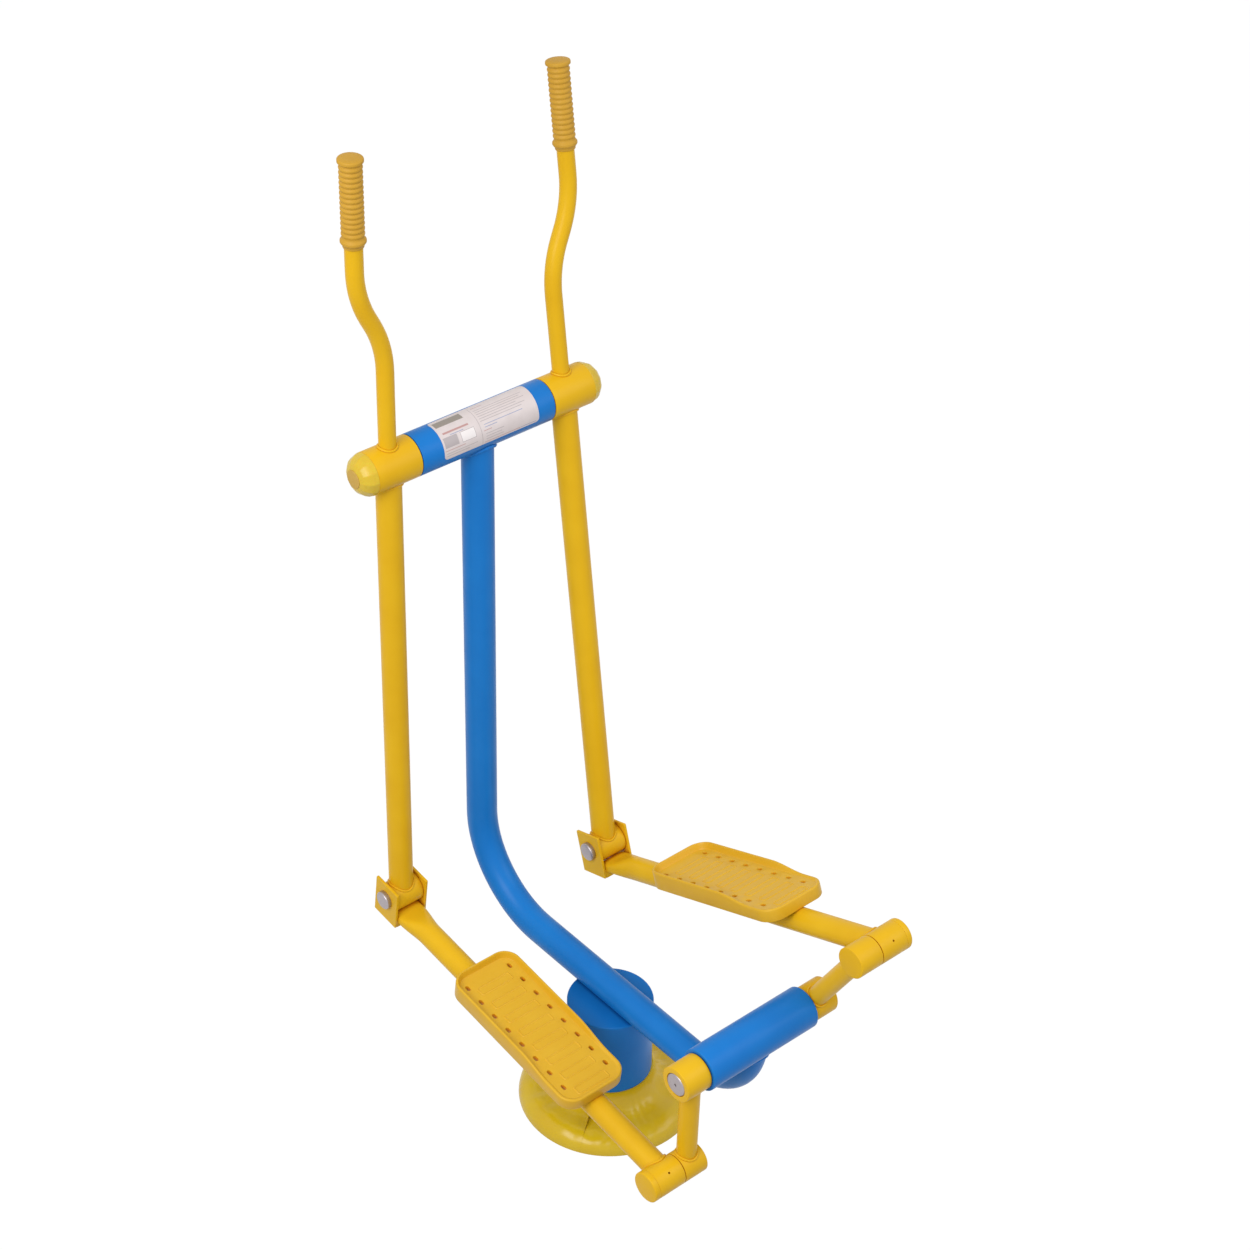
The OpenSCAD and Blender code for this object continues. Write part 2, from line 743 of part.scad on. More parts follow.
module foot_bar(side) {
    round_end = bar_end - press_len;
    wall_start = round_end - bar_plug_t;
    color("goldenrod") at_bar(side) on_side(side) difference() {
        union() {
            translate([arm_x, 0, 0]) rotate([-90, 0, 0]) cylinder(d = arm_d, h = round_end);
            pressed_bar(press_w, press_h, wall_start, bar_end);
        }
        translate([arm_x, -over, 0]) rotate([-90, 0, 0])
            cylinder(d = arm_d - 2 * arm_wall, h = wall_start + over);
        pressed_bar(press_w - 2 * arm_wall, press_h - 2 * arm_wall, wall_start - over,
            bar_end - bar_plug_t);
        cross_bar(rear_tube_d, bush_start - over, arm_x + arm_d);
    }
}

module foot_seats(side) {
    foot_mid = foot_heel(side) + foot_len / 2;
    color("goldenrod") at_bar(side) on_side(side) difference() {
        for (place = [-seat_offset, seat_offset])
            translate([arm_x - seat_w / 2, foot_mid + place - seat_len / 2, arm_d / 2 - seat_sink])
                cube([seat_w, seat_len, seat_t]);
        translate([arm_x, 0, 0]) rotate([-90, 0, 0]) cylinder(d = arm_d, h = bar_end);
    }
}

// Outline of the footplate, drawn in from its edge, with the rear edge on the X axis
module foot_outline(inset) {
    corner = foot_corner_r - inset;
    wide = foot_w / 2 - inset;
    translate([-wide + corner, inset]) square([2 * (wide - corner), foot_len - 2 * inset]);
    translate([-wide, inset + corner]) square([2 * wide, foot_len - 2 * inset - 2 * corner]);
    for (x = [-wide + corner, wide - corner], y = [inset + corner, foot_len - inset - corner])
        translate([x, y]) circle(r = corner);
}

// Row i of the drain holes, counted from the front
function hole_y(i) = foot_len - hole_inset - i * hole_pitch;

module slot(length, width, height) {
    translate([-width / 2, -length / 2 + width / 2, 0]) cube([width, length - width, height]);
    for (end = [-1, 1])
        translate([0, end * (length - width) / 2, 0]) cylinder(d = width, h = height);
}

// The rim seen from the side: low at the rear, then a slope, then tall to the front
module rim_side() {
    floor_z = foot_floor_h;
    polygon([
        [-over, 0], [foot_len + over, 0], [foot_len + over, floor_z + tall_rim],
        [rim_slope_end, floor_z + tall_rim], [rim_slope_start, floor_z + low_rim],
        [-over, floor_z + low_rim]
    ]);
}

module footplate(side) {
    rib_low = seat_t - seat_sink - foot_gap;
    rib_h = foot_floor_h - foot_wall - rib_low;
    color("goldenrod") at_bar(side) on_side(side) translate([arm_x, foot_heel(side), foot_bottom]) {
        difference() {
            intersection() {
                linear_extrude(height = foot_floor_h + tall_rim) foot_outline(0);
                translate([-foot_w, 0, 0]) rotate([90, 0, 90])
                    linear_extrude(height = 2 * foot_w) rim_side();
            }
            translate([0, 0, foot_floor_h])
                linear_extrude(height = tall_rim + over) foot_outline(foot_wall);
            translate([0, 0, -over])
                linear_extrude(height = foot_floor_h - foot_wall + over) foot_outline(foot_wall);
            for (i = [0 : hole_rows - 1], x = [-hole_column_gap / 2, hole_column_gap / 2])
                translate([x, hole_y(i), foot_floor_h - foot_wall - over])
                    slot(hole_len, hole_w, foot_wall + 2 * over);
        }
        for (i = [0 : hole_rows - 1])
            translate([0, hole_y(i) - hole_pitch / 2, foot_floor_h]) rotate([0, 0, 90])
                slot(pad_len, pad_w, pad_h);
        for (seat = [-seat_offset, seat_offset], part = [-seat_len / 4, seat_len / 4])
            translate([-under_rib_w / 2, foot_len / 2 + seat + part - under_rib_t / 2, rib_low])
                cube([under_rib_w, under_rib_t, rib_h]);
        for (x = [-under_rib_w / 2, under_rib_w / 2 - under_rib_t])
            translate([x, foot_wall, rib_low]) cube([under_rib_t, foot_len - 2 * foot_wall, rib_h]);
    }
}

module rear_bush(side) {
    bore = rear_tube_d - 2 * rear_bush_wall;
    color("goldenrod") at_bar(side) on_side(side) difference() {
        cross_tube(rear_tube_d, bore, rear_bush_start, rear_bush_end);
        translate([(rear_bush_start + rear_bush_end) / 2, 0, 0]) rotate([grease_angle(side), 0, 0])
            cylinder(d = grease_hole_d, h = rear_tube_d);
    }
}

module rear_plug(side) {
    bore = rear_tube_d - 2 * rear_bush_wall;
    color("gray") at_bar(side) on_side(side)
        cross_tube(bore, pivot_pin_d, rear_bush_start + rear_gap, rear_bush_end);
}

module end_cap(side) {
    edge = end_cap_edge_r;
    color("goldenrod") at_bar(side) on_side(side) turned(rear_bush_end) {
        square([rear_tube_d / 2, end_cap_len - edge]);
        square([rear_tube_d / 2 - edge, end_cap_len]);
        translate([rear_tube_d / 2 - edge, end_cap_len - edge]) circle(r = edge);
    }
}

base_flange();
cover_half(seam_angle);  // base_cover_front
cover_half(seam_angle + 180);  // base_cover_rear
pedestal_drum();
drum_lid();
main_tube();
crossbar_housing();
crossbar_plug(LEFT);  // crossbar_plug_left
crossbar_plug(RIGHT);  // crossbar_plug_right
label_plate();
top_axle();
axle_nut(LEFT);  // axle_nut_left
axle_nut(RIGHT);  // axle_nut_right
crank_housing();
crank_bearing(LEFT);  // crank_bearing_left
crank_bearing(RIGHT);  // crank_bearing_right
crank_shaft();
crank_hub(LEFT);  // crank_hub_left
crank_hub(RIGHT);  // crank_hub_right
crank_disc(LEFT);  // crank_disc_left
crank_disc(RIGHT);  // crank_disc_right
crank_arm(LEFT);  // crank_arm_left
crank_arm(RIGHT);  // crank_arm_right
crank_end(LEFT);  // crank_end_left
crank_end(RIGHT);  // crank_end_right
arm_hub(LEFT);  // left_hub
hub_bearing(LEFT);  // left_hub_bearing
domed_cap(LEFT);  // left_domed_cap
cap_disc(LEFT);  // left_cap_disc
handle(LEFT);  // left_handle
grip(LEFT);  // left_grip
lower_arm(LEFT);  // left_lower_arm
arm_bush(LEFT);  // left_arm_bush
arm_hub(RIGHT);  // right_hub
hub_bearing(RIGHT);  // right_hub_bearing
domed_cap(RIGHT);  // right_domed_cap
cap_disc(RIGHT);  // right_cap_disc
handle(RIGHT);  // right_handle
grip(RIGHT);  // right_grip
lower_arm(RIGHT);  // right_lower_arm
arm_bush(RIGHT);  // right_arm_bush
clevis(LEFT);  // left_clevis
pivot_pin(LEFT);  // left_pivot_pin
pin_cap(LEFT);  // left_pin_cap
foot_bar(LEFT);  // left_foot_bar
foot_seats(LEFT);  // left_foot_seats
footplate(LEFT);  // left_footplate
rear_bush(LEFT);  // left_rear_bush
rear_plug(LEFT);  // left_rear_plug
end_cap(LEFT);  // left_end_cap
clevis(RIGHT);  // right_clevis
pivot_pin(RIGHT);  // right_pivot_pin
pin_cap(RIGHT);  // right_pin_cap
foot_bar(RIGHT);  // right_foot_bar
foot_seats(RIGHT);  // right_foot_seats
footplate(RIGHT);  // right_footplate
rear_bush(RIGHT);  // right_rear_bush
rear_plug(RIGHT);  // right_rear_plug
end_cap(RIGHT);  // right_end_cap
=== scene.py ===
import json
import math
import random

import bmesh
import bpy
from mathutils import Matrix, Vector


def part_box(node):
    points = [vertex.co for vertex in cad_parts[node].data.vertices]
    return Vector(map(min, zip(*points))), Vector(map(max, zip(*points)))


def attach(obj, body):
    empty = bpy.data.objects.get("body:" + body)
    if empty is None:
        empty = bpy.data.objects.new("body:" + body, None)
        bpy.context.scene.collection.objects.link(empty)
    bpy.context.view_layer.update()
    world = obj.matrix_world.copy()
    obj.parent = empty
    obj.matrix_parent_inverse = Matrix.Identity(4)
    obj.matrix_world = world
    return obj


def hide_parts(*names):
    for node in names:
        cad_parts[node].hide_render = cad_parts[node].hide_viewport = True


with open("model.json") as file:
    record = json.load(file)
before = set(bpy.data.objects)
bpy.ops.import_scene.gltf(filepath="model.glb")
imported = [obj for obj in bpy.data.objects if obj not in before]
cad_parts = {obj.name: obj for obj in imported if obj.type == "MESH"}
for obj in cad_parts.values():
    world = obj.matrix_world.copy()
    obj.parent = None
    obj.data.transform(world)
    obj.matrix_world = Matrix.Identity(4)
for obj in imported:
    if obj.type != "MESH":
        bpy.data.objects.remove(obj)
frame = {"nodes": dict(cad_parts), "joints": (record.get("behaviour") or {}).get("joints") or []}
for spare in ("Cube", "Light", "Camera"):
    if spare in bpy.data.objects:
        bpy.data.objects.remove(bpy.data.objects[spare])
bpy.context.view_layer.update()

# Camera
# The picture is taken from behind the machine on its left, well above it, through a long lens.
# The camera leans a little to one side, as it was held.
CAMERA_AT = Vector((-2.3625, -2.6934, 3.7226))
CAMERA_TURN = math.radians(-41.39)
CAMERA_HEIGHT = math.radians(36.37)
CAMERA_LEAN = math.radians(1.53)

back = Vector((
    math.sin(CAMERA_TURN) * math.cos(CAMERA_HEIGHT),
    -math.cos(CAMERA_TURN) * math.cos(CAMERA_HEIGHT),
    math.sin(CAMERA_HEIGHT),
))
level = (-back).cross(Vector((0, 0, 1))).normalized()
upright = level.cross(-back)
right = level * math.cos(CAMERA_LEAN) + upright * math.sin(CAMERA_LEAN)
up = upright * math.cos(CAMERA_LEAN) - level * math.sin(CAMERA_LEAN)
camera_data = bpy.data.cameras.new("camera")
camera_data.lens = 78.04
camera = bpy.data.objects.new("camera", camera_data)
camera.matrix_world = Matrix.Translation(CAMERA_AT) @ Matrix((right, up, back)).transposed().to_4x4()
bpy.context.scene.collection.objects.link(camera)
bpy.context.scene.camera = camera

# Base flange
# A round steel plate under the machine, cut with four anchor holes and hot dip galvanised.
# The drum is welded on its middle, and the moulded cover hides it.


def srgb(code):
    """Linear colour of an sRGB hex code."""
    shares = [int(code[i:i + 2], 16) / 255 for i in (0, 2, 4)]
    linear = [s / 12.92 if s <= 0.04045 else ((s + 0.055) / 1.055) ** 2.4 for s in shares]
    return (*linear, 1)


def fit(tree, node, values):
    """Gives inputs of a node their values, or links them."""
    for name, value in values.items():
        if isinstance(value, bpy.types.NodeSocket):
            tree.links.new(value, node.inputs[name])
        else:
            node.inputs[name].default_value = value


def add(tree, kind, values=None, **settings):
    """Adds a node with its settings and its input values or links."""
    node = tree.nodes.new("ShaderNode" + kind)
    for name, value in settings.items():
        setattr(node, name, value)
    fit(tree, node, values or {})
    return node


def new_finish(name):
    """A new material, its node tree and its surface shader."""
    material = bpy.data.materials.new(name)
    material.use_nodes = True
    tree = material.node_tree
    return material, tree, tree.nodes["Principled BSDF"]


def dress(material, *names):
    """Gives CAD nodes a material."""
    for name in names:
        for slot in frame["nodes"][name].material_slots:
            slot.material = material


# Hot dip zinc: grey flowers of crystal about 14 mm across, each a shade lighter or darker
mm = 0.001
ZINC_LIGHT = "B4B7BA"
ZINC_DARK = "8D9296"
FLOWER = 14 * mm
galvanised, tree, shader = new_finish("hot_dip_galvanised_steel")
place = add(tree, "TexCoord")
flowers = add(tree, "TexVoronoi", {"Vector": place.outputs["Object"], "Scale": 1 / FLOWER})
shade = add(tree, "SeparateColor", {"Color": flowers.outputs["Color"]})
zinc = add(
    tree, "Mix",
    {0: shade.outputs["Red"], 6: srgb(ZINC_DARK), 7: srgb(ZINC_LIGHT)},
    data_type="RGBA",
)
dull = add(tree, "MapRange", {"Value": shade.outputs["Green"], "To Min": 0.42, "To Max": 0.58})
fit(tree, shader, {
    "Base Color": zinc.outputs[2],
    "Roughness": dull.outputs["Result"],
    "Metallic": 0.9,
})
dress(galvanised, "base_flange")

# Base cover
# Two thin plastic halves that clip round the drum and hide the flange and its anchor holes.
# Each is drawn from a warm sheet over a mould, which leaves soft waves in its glossy skin.
DRUM_D = 159 * mm
COVER_D = 336 * mm
COVER_H = 74 * mm
COVER_WALL = 3 * mm
BRIM_R = 34 * mm
FLARE_R = 40 * mm
SEAM_ANGLE = math.radians(32)
SEAM_GAP = 0.15 * mm
WAVE = 4.2 * mm
RIPPLE = 1.9 * mm
STREAK = 0.7 * mm
CREASE = 3 * mm


def cover_line(inset, steps=18):
    """Points (radius, height) of the cover's skin, from its neck down to the ground."""
    flare_x = DRUM_D / 2 + COVER_WALL + FLARE_R
    brim_x = COVER_D / 2 - BRIM_R
    line = []
    for i in range(steps + 1):
        angle = math.radians(180 + 90 * i / steps)
        radius = FLARE_R + inset
        line.append((flare_x + radius * math.cos(angle), COVER_H + radius * math.sin(angle)))
    for i in range(steps + 1):
        angle = math.radians(90 - 90 * i / steps)
        radius = BRIM_R - inset
        line.append((brim_x + radius * math.cos(angle), radius * math.sin(angle)))
    return line


def cover_wave(angle, share):
    """How far the soft sheet has sunk in, at an angle and a share of the way down the skin."""
    body = math.sin(math.pi * share)
    broad = 0.5 + 0.3 * math.sin(3 * angle + 0.6) + 0.2 * math.sin(7 * angle + 2.1)
    fine = 0.5 + 0.5 * math.sin(15 * angle + 3 * math.sin(2 * angle) + 2.5 * share)
    streak = 0.5 + 0.5 * math.sin(41 * angle + 5 * math.sin(3 * angle) + 6 * share)
    near_seam = math.exp(-((math.degrees(angle - SEAM_ANGLE) % 180 - 6) / 5) ** 2)
    low = math.exp(-((share - 0.62) / 0.12) ** 2)
    sunk = body * (WAVE * broad + RIPPLE * fine + STREAK * streak * fine)
    return sunk + CREASE * near_seam * low


def bridge(bm, one, two):
    """Faces all the way round between two closed rings of points."""
    for i in range(len(one)):
        j = (i + 1) % len(one)
        bm.faces.new((one[i], one[j], two[j], two[i]))


def cover_half(turn):
    """One half of the cover, a closed shell from seam to seam."""
    bm = bmesh.new()
    outer = cover_line(0)
    inner = cover_line(COVER_WALL)
    count = len(outer)
    steps = 260
    gap = SEAM_GAP / COVER_D
    lean = math.radians(45)
    rows = []
    for i in range(steps + 1):
        angle = turn + gap + (math.pi - 2 * gap) * i / steps
        row = []
        for line in (outer, inner):
            for k, (radius, height) in enumerate(line):
                sunk = cover_wave(angle, k / (count - 1))
                flat = radius - sunk * math.cos(lean)
                rise = height - sunk * math.sin(lean) * min(1, height / BRIM_R)
                row.append(bm.verts.new((flat * math.cos(angle), flat * math.sin(angle), rise)))
        rows.append(row[:count] + row[count:][::-1])
    for one, two in zip(rows, rows[1:]):
        bridge(bm, one, two)
    ends = [bm.faces.new(rows[0]), bm.faces.new(rows[-1])]
    bmesh.ops.triangulate(bm, faces=ends)
    return bm


def mottled(tree, patch, detail, light, dark):
    """Soft patches of two shades, of a given size: the pattern's value, and its colour."""
    place = add(tree, "TexCoord")
    cloud = add(tree, "TexNoise", {
        "Vector": place.outputs["Object"], "Scale": 1 / patch, "Detail": detail,
    })
    shades = {0: cloud.outputs["Fac"], 6: srgb(light), 7: srgb(dark)}
    return cloud.outputs["Fac"], add(tree, "Mix", shades, data_type="RGBA").outputs[2]


def make_piece(name, bm, material, body, slot, *nodes, at=None):
    """Makes a piece of a mesh in its place. It rides on a body and stands for CAD nodes."""
    bm.transform(at or Matrix())
    bmesh.ops.recalc_face_normals(bm, faces=bm.faces)
    mesh = bpy.data.meshes.new(name)
    bm.to_mesh(mesh)
    bm.free()
    mesh.shade_smooth()
    mesh.set_sharp_from_angle(angle=math.radians(38))
    mesh.materials.append(material)
    piece = bpy.data.objects.new(name, mesh)
    bpy.context.scene.collection.objects.link(piece)
    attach(piece, body)
    if nodes:
        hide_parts(*nodes)


# Vacuum formed ABS: a bright greenish yellow with a wet gloss, a little dulled by dust low down
COVER_YELLOW = "D6B818"
COVER_DEEP = "CDA60C"
COVER_DUST = "BFA23A"
cover_abs, tree, shader = new_finish("vacuum_formed_abs")
tone, skin = mottled(tree, 60 * mm, 2.0, COVER_YELLOW, COVER_DEEP)
place = add(tree, "TexCoord")
parts = add(tree, "SeparateXYZ", {"Vector": place.outputs["Object"]})
low = add(tree, "MapRange", {
    "Value": parts.outputs["Z"],
    "From Min": 0.0, "From Max": 16 * mm, "To Min": 0.5, "To Max": 0.0,
})
grit = add(tree, "TexNoise", {"Vector": place.outputs["Object"], "Scale": 1 / (6 * mm), "Detail": 4.0})
dust = add(tree, "Math", {0: low.outputs["Result"], 1: grit.outputs["Fac"]}, operation="MULTIPLY")
dusty = add(
    tree, "Mix",
    {0: dust.outputs[0], 6: skin, 7: srgb(COVER_DUST)},
    data_type="RGBA",
)
dull = add(tree, "MapRange", {"Value": grit.outputs["Fac"], "To Min": 0.2, "To Max": 0.3})
skin_wave = add(tree, "Bump", {"Height": tone, "Strength": 0.25, "Distance": 2 * mm})
fit(tree, shader, {
    "Base Color": dusty.outputs[2],
    "Roughness": dull.outputs["Result"],
    "Normal": skin_wave.outputs["Normal"],
    "IOR": 1.5,
    "Specular IOR Level": 0.4,
})
for end, turn in (("front", SEAM_ANGLE), ("rear", SEAM_ANGLE + math.pi)):
    make_piece(
        "cover_" + end, cover_half(turn), cover_abs, "frame", "cover_plastic", "base_cover_" + end
    )

# Pedestal drum and main tube
# A stub of 159 mm tube with a flat lid carries one long 57 mm tube, bent twice, which runs from
# the crank housing behind to the crossbar in front. All are steel, welded, then powder coated.
FLOW = 80 * mm
# How far the painted corner shade reaches
SHADE_REACH = 9 * mm
# Real orange peel is 1 to 2 mm across, too fine to show, so it is drawn at 5 mm
PEEL = 5 * mm


def painted_shade_share(tree, distance, open_at, deep_at, full):
    """A share of painted shade that is 0 on open faces and rises to its full value in narrow corners.
    """
    nook = add(tree, "AmbientOcclusion", {"Distance": distance}, samples=8)
    return add(tree, "MapRange", {
        "Value": nook.outputs["AO"],
        "From Min": deep_at, "From Max": open_at, "To Min": full, "To Max": 0.0,
    }).outputs["Result"]


def powder_coat(name, film, deep, corner, full=0.85):
    """Powder coat baked on steel: an even film with a faint orange peel, with shade painted darker into
    the corners.
    """
    material, tree, shader = new_finish(name)
    place = add(tree, "TexCoord")
    flow = add(tree, "TexNoise", {
        "Vector": place.outputs["Object"], "Scale": 1 / FLOW, "Detail": 2.0,
    })
    thick = add(tree, "MapRange", {
        "Value": flow.outputs["Fac"],
        "From Min": 0.3, "From Max": 0.7, "To Min": 0.0, "To Max": 0.55,
    })
    coat = add(
        tree, "Mix", {0: thick.outputs["Result"], 6: srgb(film), 7: srgb(deep)}, data_type="RGBA"
    )
    # Painted shade: the colour turns to the dark corner colour where ambient occlusion is deep
    corner_shade = painted_shade_share(tree, SHADE_REACH, 0.8, 0.2, full)
    colour = add(
        tree, "Mix", {0: corner_shade, 6: coat.outputs[2], 7: srgb(corner)}, data_type="RGBA"
    )
    peel = add(tree, "TexNoise", {
        "Vector": place.outputs["Object"], "Scale": 1 / PEEL, "Detail": 1.0,
    })
    relief = add(tree, "Bump", {
        "Height": peel.outputs["Fac"], "Strength": 0.12, "Distance": 0.5 * mm,
    })
    dull = add(tree, "MapRange", {"Value": flow.outputs["Fac"], "To Min": 0.3, "To Max": 0.42})
    fit(tree, shader, {
        "Base Color": colour.outputs[2],
        "Roughness": dull.outputs["Result"],
        "Normal": relief.outputs["Normal"],
        "IOR": 1.5,
        "Specular IOR Level": 0.16,
    })
    return material


# Blue powder coat: a clear mid blue, a shade deeper where the film is thick, and a dark blue painted
# shade in the corners
blue_coat = powder_coat("blue_powder_coat", "1777C8", "126CBD", "083E88")
dress(blue_coat, "pedestal_drum", "drum_lid", "main_tube")

POST_D = 57 * mm
BEAD_R = 2.6 * mm
# Distance between a bead's rings and between its scales, in mm
BEAD_STEP = 1.1
BEAD_SCALE = 4.4
BEAD_SIDES = 8


def even(loop, step):
    """The points of a closed loop, set out again at an even step."""
    lengths = [(b - a).length for a, b in zip(loop, loop[1:] + loop[:1])]
    total = sum(lengths)
    count = max(12, round(total / step))
    points = []
    gone, index = 0.0, 0
    for i in range(count):
        at = total * i / count
        while gone + lengths[index] < at:
            gone += lengths[index]
            index += 1
        start, end = loop[index], loop[(index + 1) % len(loop)]
        points.append(start.lerp(end, (at - gone) / lengths[index]))
    return points


def weld_bead(name, loop, material, body, slot, radius=BEAD_R, at=None):
    """A weld bead along a closed loop, with the small scales that the torch leaves."""
    hand = random.Random(name)
    points = even(loop, BEAD_STEP * mm)
    middle = sum(points, Vector()) / len(points)
    pitch = round(len(points) * BEAD_STEP / BEAD_SCALE)
    bm = bmesh.new()
    rings = []
    sway = [hand.uniform(0.94, 1.06) for _ in range(pitch + 1)]
    for i, point in enumerate(points):
        ahead = (points[(i + 1) % len(points)] - points[i - 1]).normalized()
        out = point - middle
        out = (out - ahead * out.dot(ahead)).normalized()
        side = ahead.cross(out)
        turn = pitch * i / len(points)
        scale = sway[int(turn) % pitch] * (0.86 + 0.16 * abs(math.sin(math.pi * turn)))
        ring = []
        for k in range(BEAD_SIDES):
            angle = math.tau * k / BEAD_SIDES
            spoke = out * math.cos(angle) + side * math.sin(angle)
            ring.append(bm.verts.new(point + spoke * radius * scale))
        rings.append(ring)
    for one, two in zip(rings, rings[1:] + rings[:1]):
        bridge(bm, one, two)
    make_piece(name, bm, material, body, slot, at=at)


def saddle(x, tube_r, host_r, inner=None, bead=BEAD_R):
    """The loop where a tube along Z, at x, stands on a round host that lies along X."""
    loop = []
    for i in range(180):
        angle = math.tau * i / 180
        aside = x + (tube_r + bead / 3) * math.cos(angle)
        along = (tube_r + bead / 3) * math.sin(angle)
        rise = math.sqrt(max((host_r + bead / 3) ** 2 - along ** 2, 0))
        loop.append(Vector((aside if inner is None else max(aside, inner), along, rise)))
    return loop


TUBE_SUNK = 1 * mm
LID_EDGE = 5 * mm
LOOP_SQUARE = 0.12
lid_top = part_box("drum_lid")[1][2]
axis_height = lid_top - TUBE_SUNK + POST_D / 2
contact = math.sqrt((POST_D / 2) ** 2 - (axis_height - lid_top) ** 2)
lid_loop = []
for i in range(120):
    angle = math.tau * i / 120
    lid_loop.append(Vector((
        (contact + BEAD_R / 2)
        * math.copysign(abs(math.cos(angle)) ** LOOP_SQUARE, math.cos(angle)),
        (DRUM_D / 2 - LID_EDGE) * math.sin(angle),
        lid_top,
    )))
weld_bead("weld_tube_to_lid", lid_loop, blue_coat, "frame", "blue_paint")

# Crossbar
# A 76 mm tube across the top of the post holds the fixed axle that both arms swing on.
# It is cut square, its edges are broken, and a bead of weld joins it to the post.
HUB_D = 76 * mm
HUB_BORE = 62 * mm
EDGE = 0.9 * mm
joints = {row["name"]: Vector(row["pos_m"]) for row in frame["joints"]}
crossbar_axis = Vector((0, joints["left_arm_swing"].y, joints["left_arm_swing"].z))
crank_axis = joints["crank_turn"]


def rounded(corners, steps=4):
    """Points of a run of (x, y, radius) corners, with each corner made an arc."""
    points = []
    for i, (x, y, radius) in enumerate(corners):
        here = Vector((x, y))
        if not radius:
            points.append((x, y))
            continue
        before = (Vector(corners[i - 1][:2]) - here).normalized()
        after = (Vector(corners[(i + 1) % len(corners)][:2]) - here).normalized()
        half = before.angle(after) / 2
        centre = here + (before + after).normalized() * radius / math.sin(half)
        start = here + before * radius / math.tan(half) - centre
        sweep = start.angle_signed(here + after * radius / math.tan(half) - centre)
        for k in range(steps + 1):
            turn = Matrix.Rotation(-sweep * k / steps, 2)
            points.append(tuple(centre + turn @ start))
    return points


def turned(profile, closed=False, sides=96):
    """A run of (x, radius) points turned round the X axis."""
    bm = bmesh.new()
    rings = []
    for x, radius in profile:
        count = sides if radius > 0 else 1
        angles = [math.tau * i / sides for i in range(count)]
        rings.append([
            bm.verts.new((x, radius * math.cos(a), radius * math.sin(a))) for a in angles
        ])
    pairs = list(zip(rings, rings[1:]))
    if closed:
        pairs.append((rings[-1], rings[0]))
    for one, two in pairs:
        for i in range(sides):
            j = (i + 1) % sides
            face = (one[i % len(one)], one[j % len(one)], two[j % len(two)], two[i % len(two)])
            bm.faces.new(list(dict.fromkeys(face)))
    return bm


def pipe(start, end, radius, bore, edge=EDGE):
    """A length of tube along X with broken edges."""
    return turned(rounded([
        (start, bore, 0), (start, radius, edge), (end, radius, edge), (end, bore, 0),
    ]), closed=True)


def across(place, side=1):
    """Puts a piece made round the X axis on a line across the machine, on one side of it."""
    return Matrix.Translation(place) @ Matrix.Diagonal((side, 1, 1, 1))


def reach_across(node):
    """How far from the machine's middle a node starts and ends."""
    low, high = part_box(node)
    return sorted((abs(low[0]), abs(high[0])))


def centre_line(node):
    """The point of the machine's middle plane that lies on a round node's axis."""
    low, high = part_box(node)
    return Vector((0, (low[1] + high[1]) / 2, (low[2] + high[2]) / 2))


SIDES = (("left", -1), ("right", 1))
DOWNWARD = Matrix.Rotation(math.pi, 4, "X")
POST_BEAD_R = 3.8 * mm
bar_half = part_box("crossbar_housing")[1][0]
make_piece(
    "crossbar", pipe(-bar_half, bar_half, HUB_D / 2, HUB_BORE / 2), blue_coat,
    "frame", "blue_paint", "crossbar_housing", at=across(crossbar_axis),
)
weld_bead(
    "weld_post_to_crossbar", saddle(0, POST_D / 2, HUB_D / 2, bead=POST_BEAD_R), blue_coat,
    "frame", "blue_paint", radius=POST_BEAD_R,
    at=across(crossbar_axis) @ DOWNWARD,
)
dress(blue_coat, "crossbar_plug_left", "crossbar_plug_right")

# Label plate
# A printed foil with round corners, wrapped round the crossbar on a film of glue. Its print is
# kept to plain bars and panels in the faded inks of such a plate, with no words or pictures.
GLUE_T = 0.1 * mm
LABEL_T = 0.6 * mm
LABEL_WRAP = math.radians(123)
LABEL_START = math.radians(70)
LABEL_CORNER = 7 * mm
LABEL_COLUMNS = 24
label_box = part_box("label_plate")
label_start_x, label_end_x = label_box[0][0], label_box[1][0]
label_r = HUB_D / 2 + GLUE_T + LABEL_T


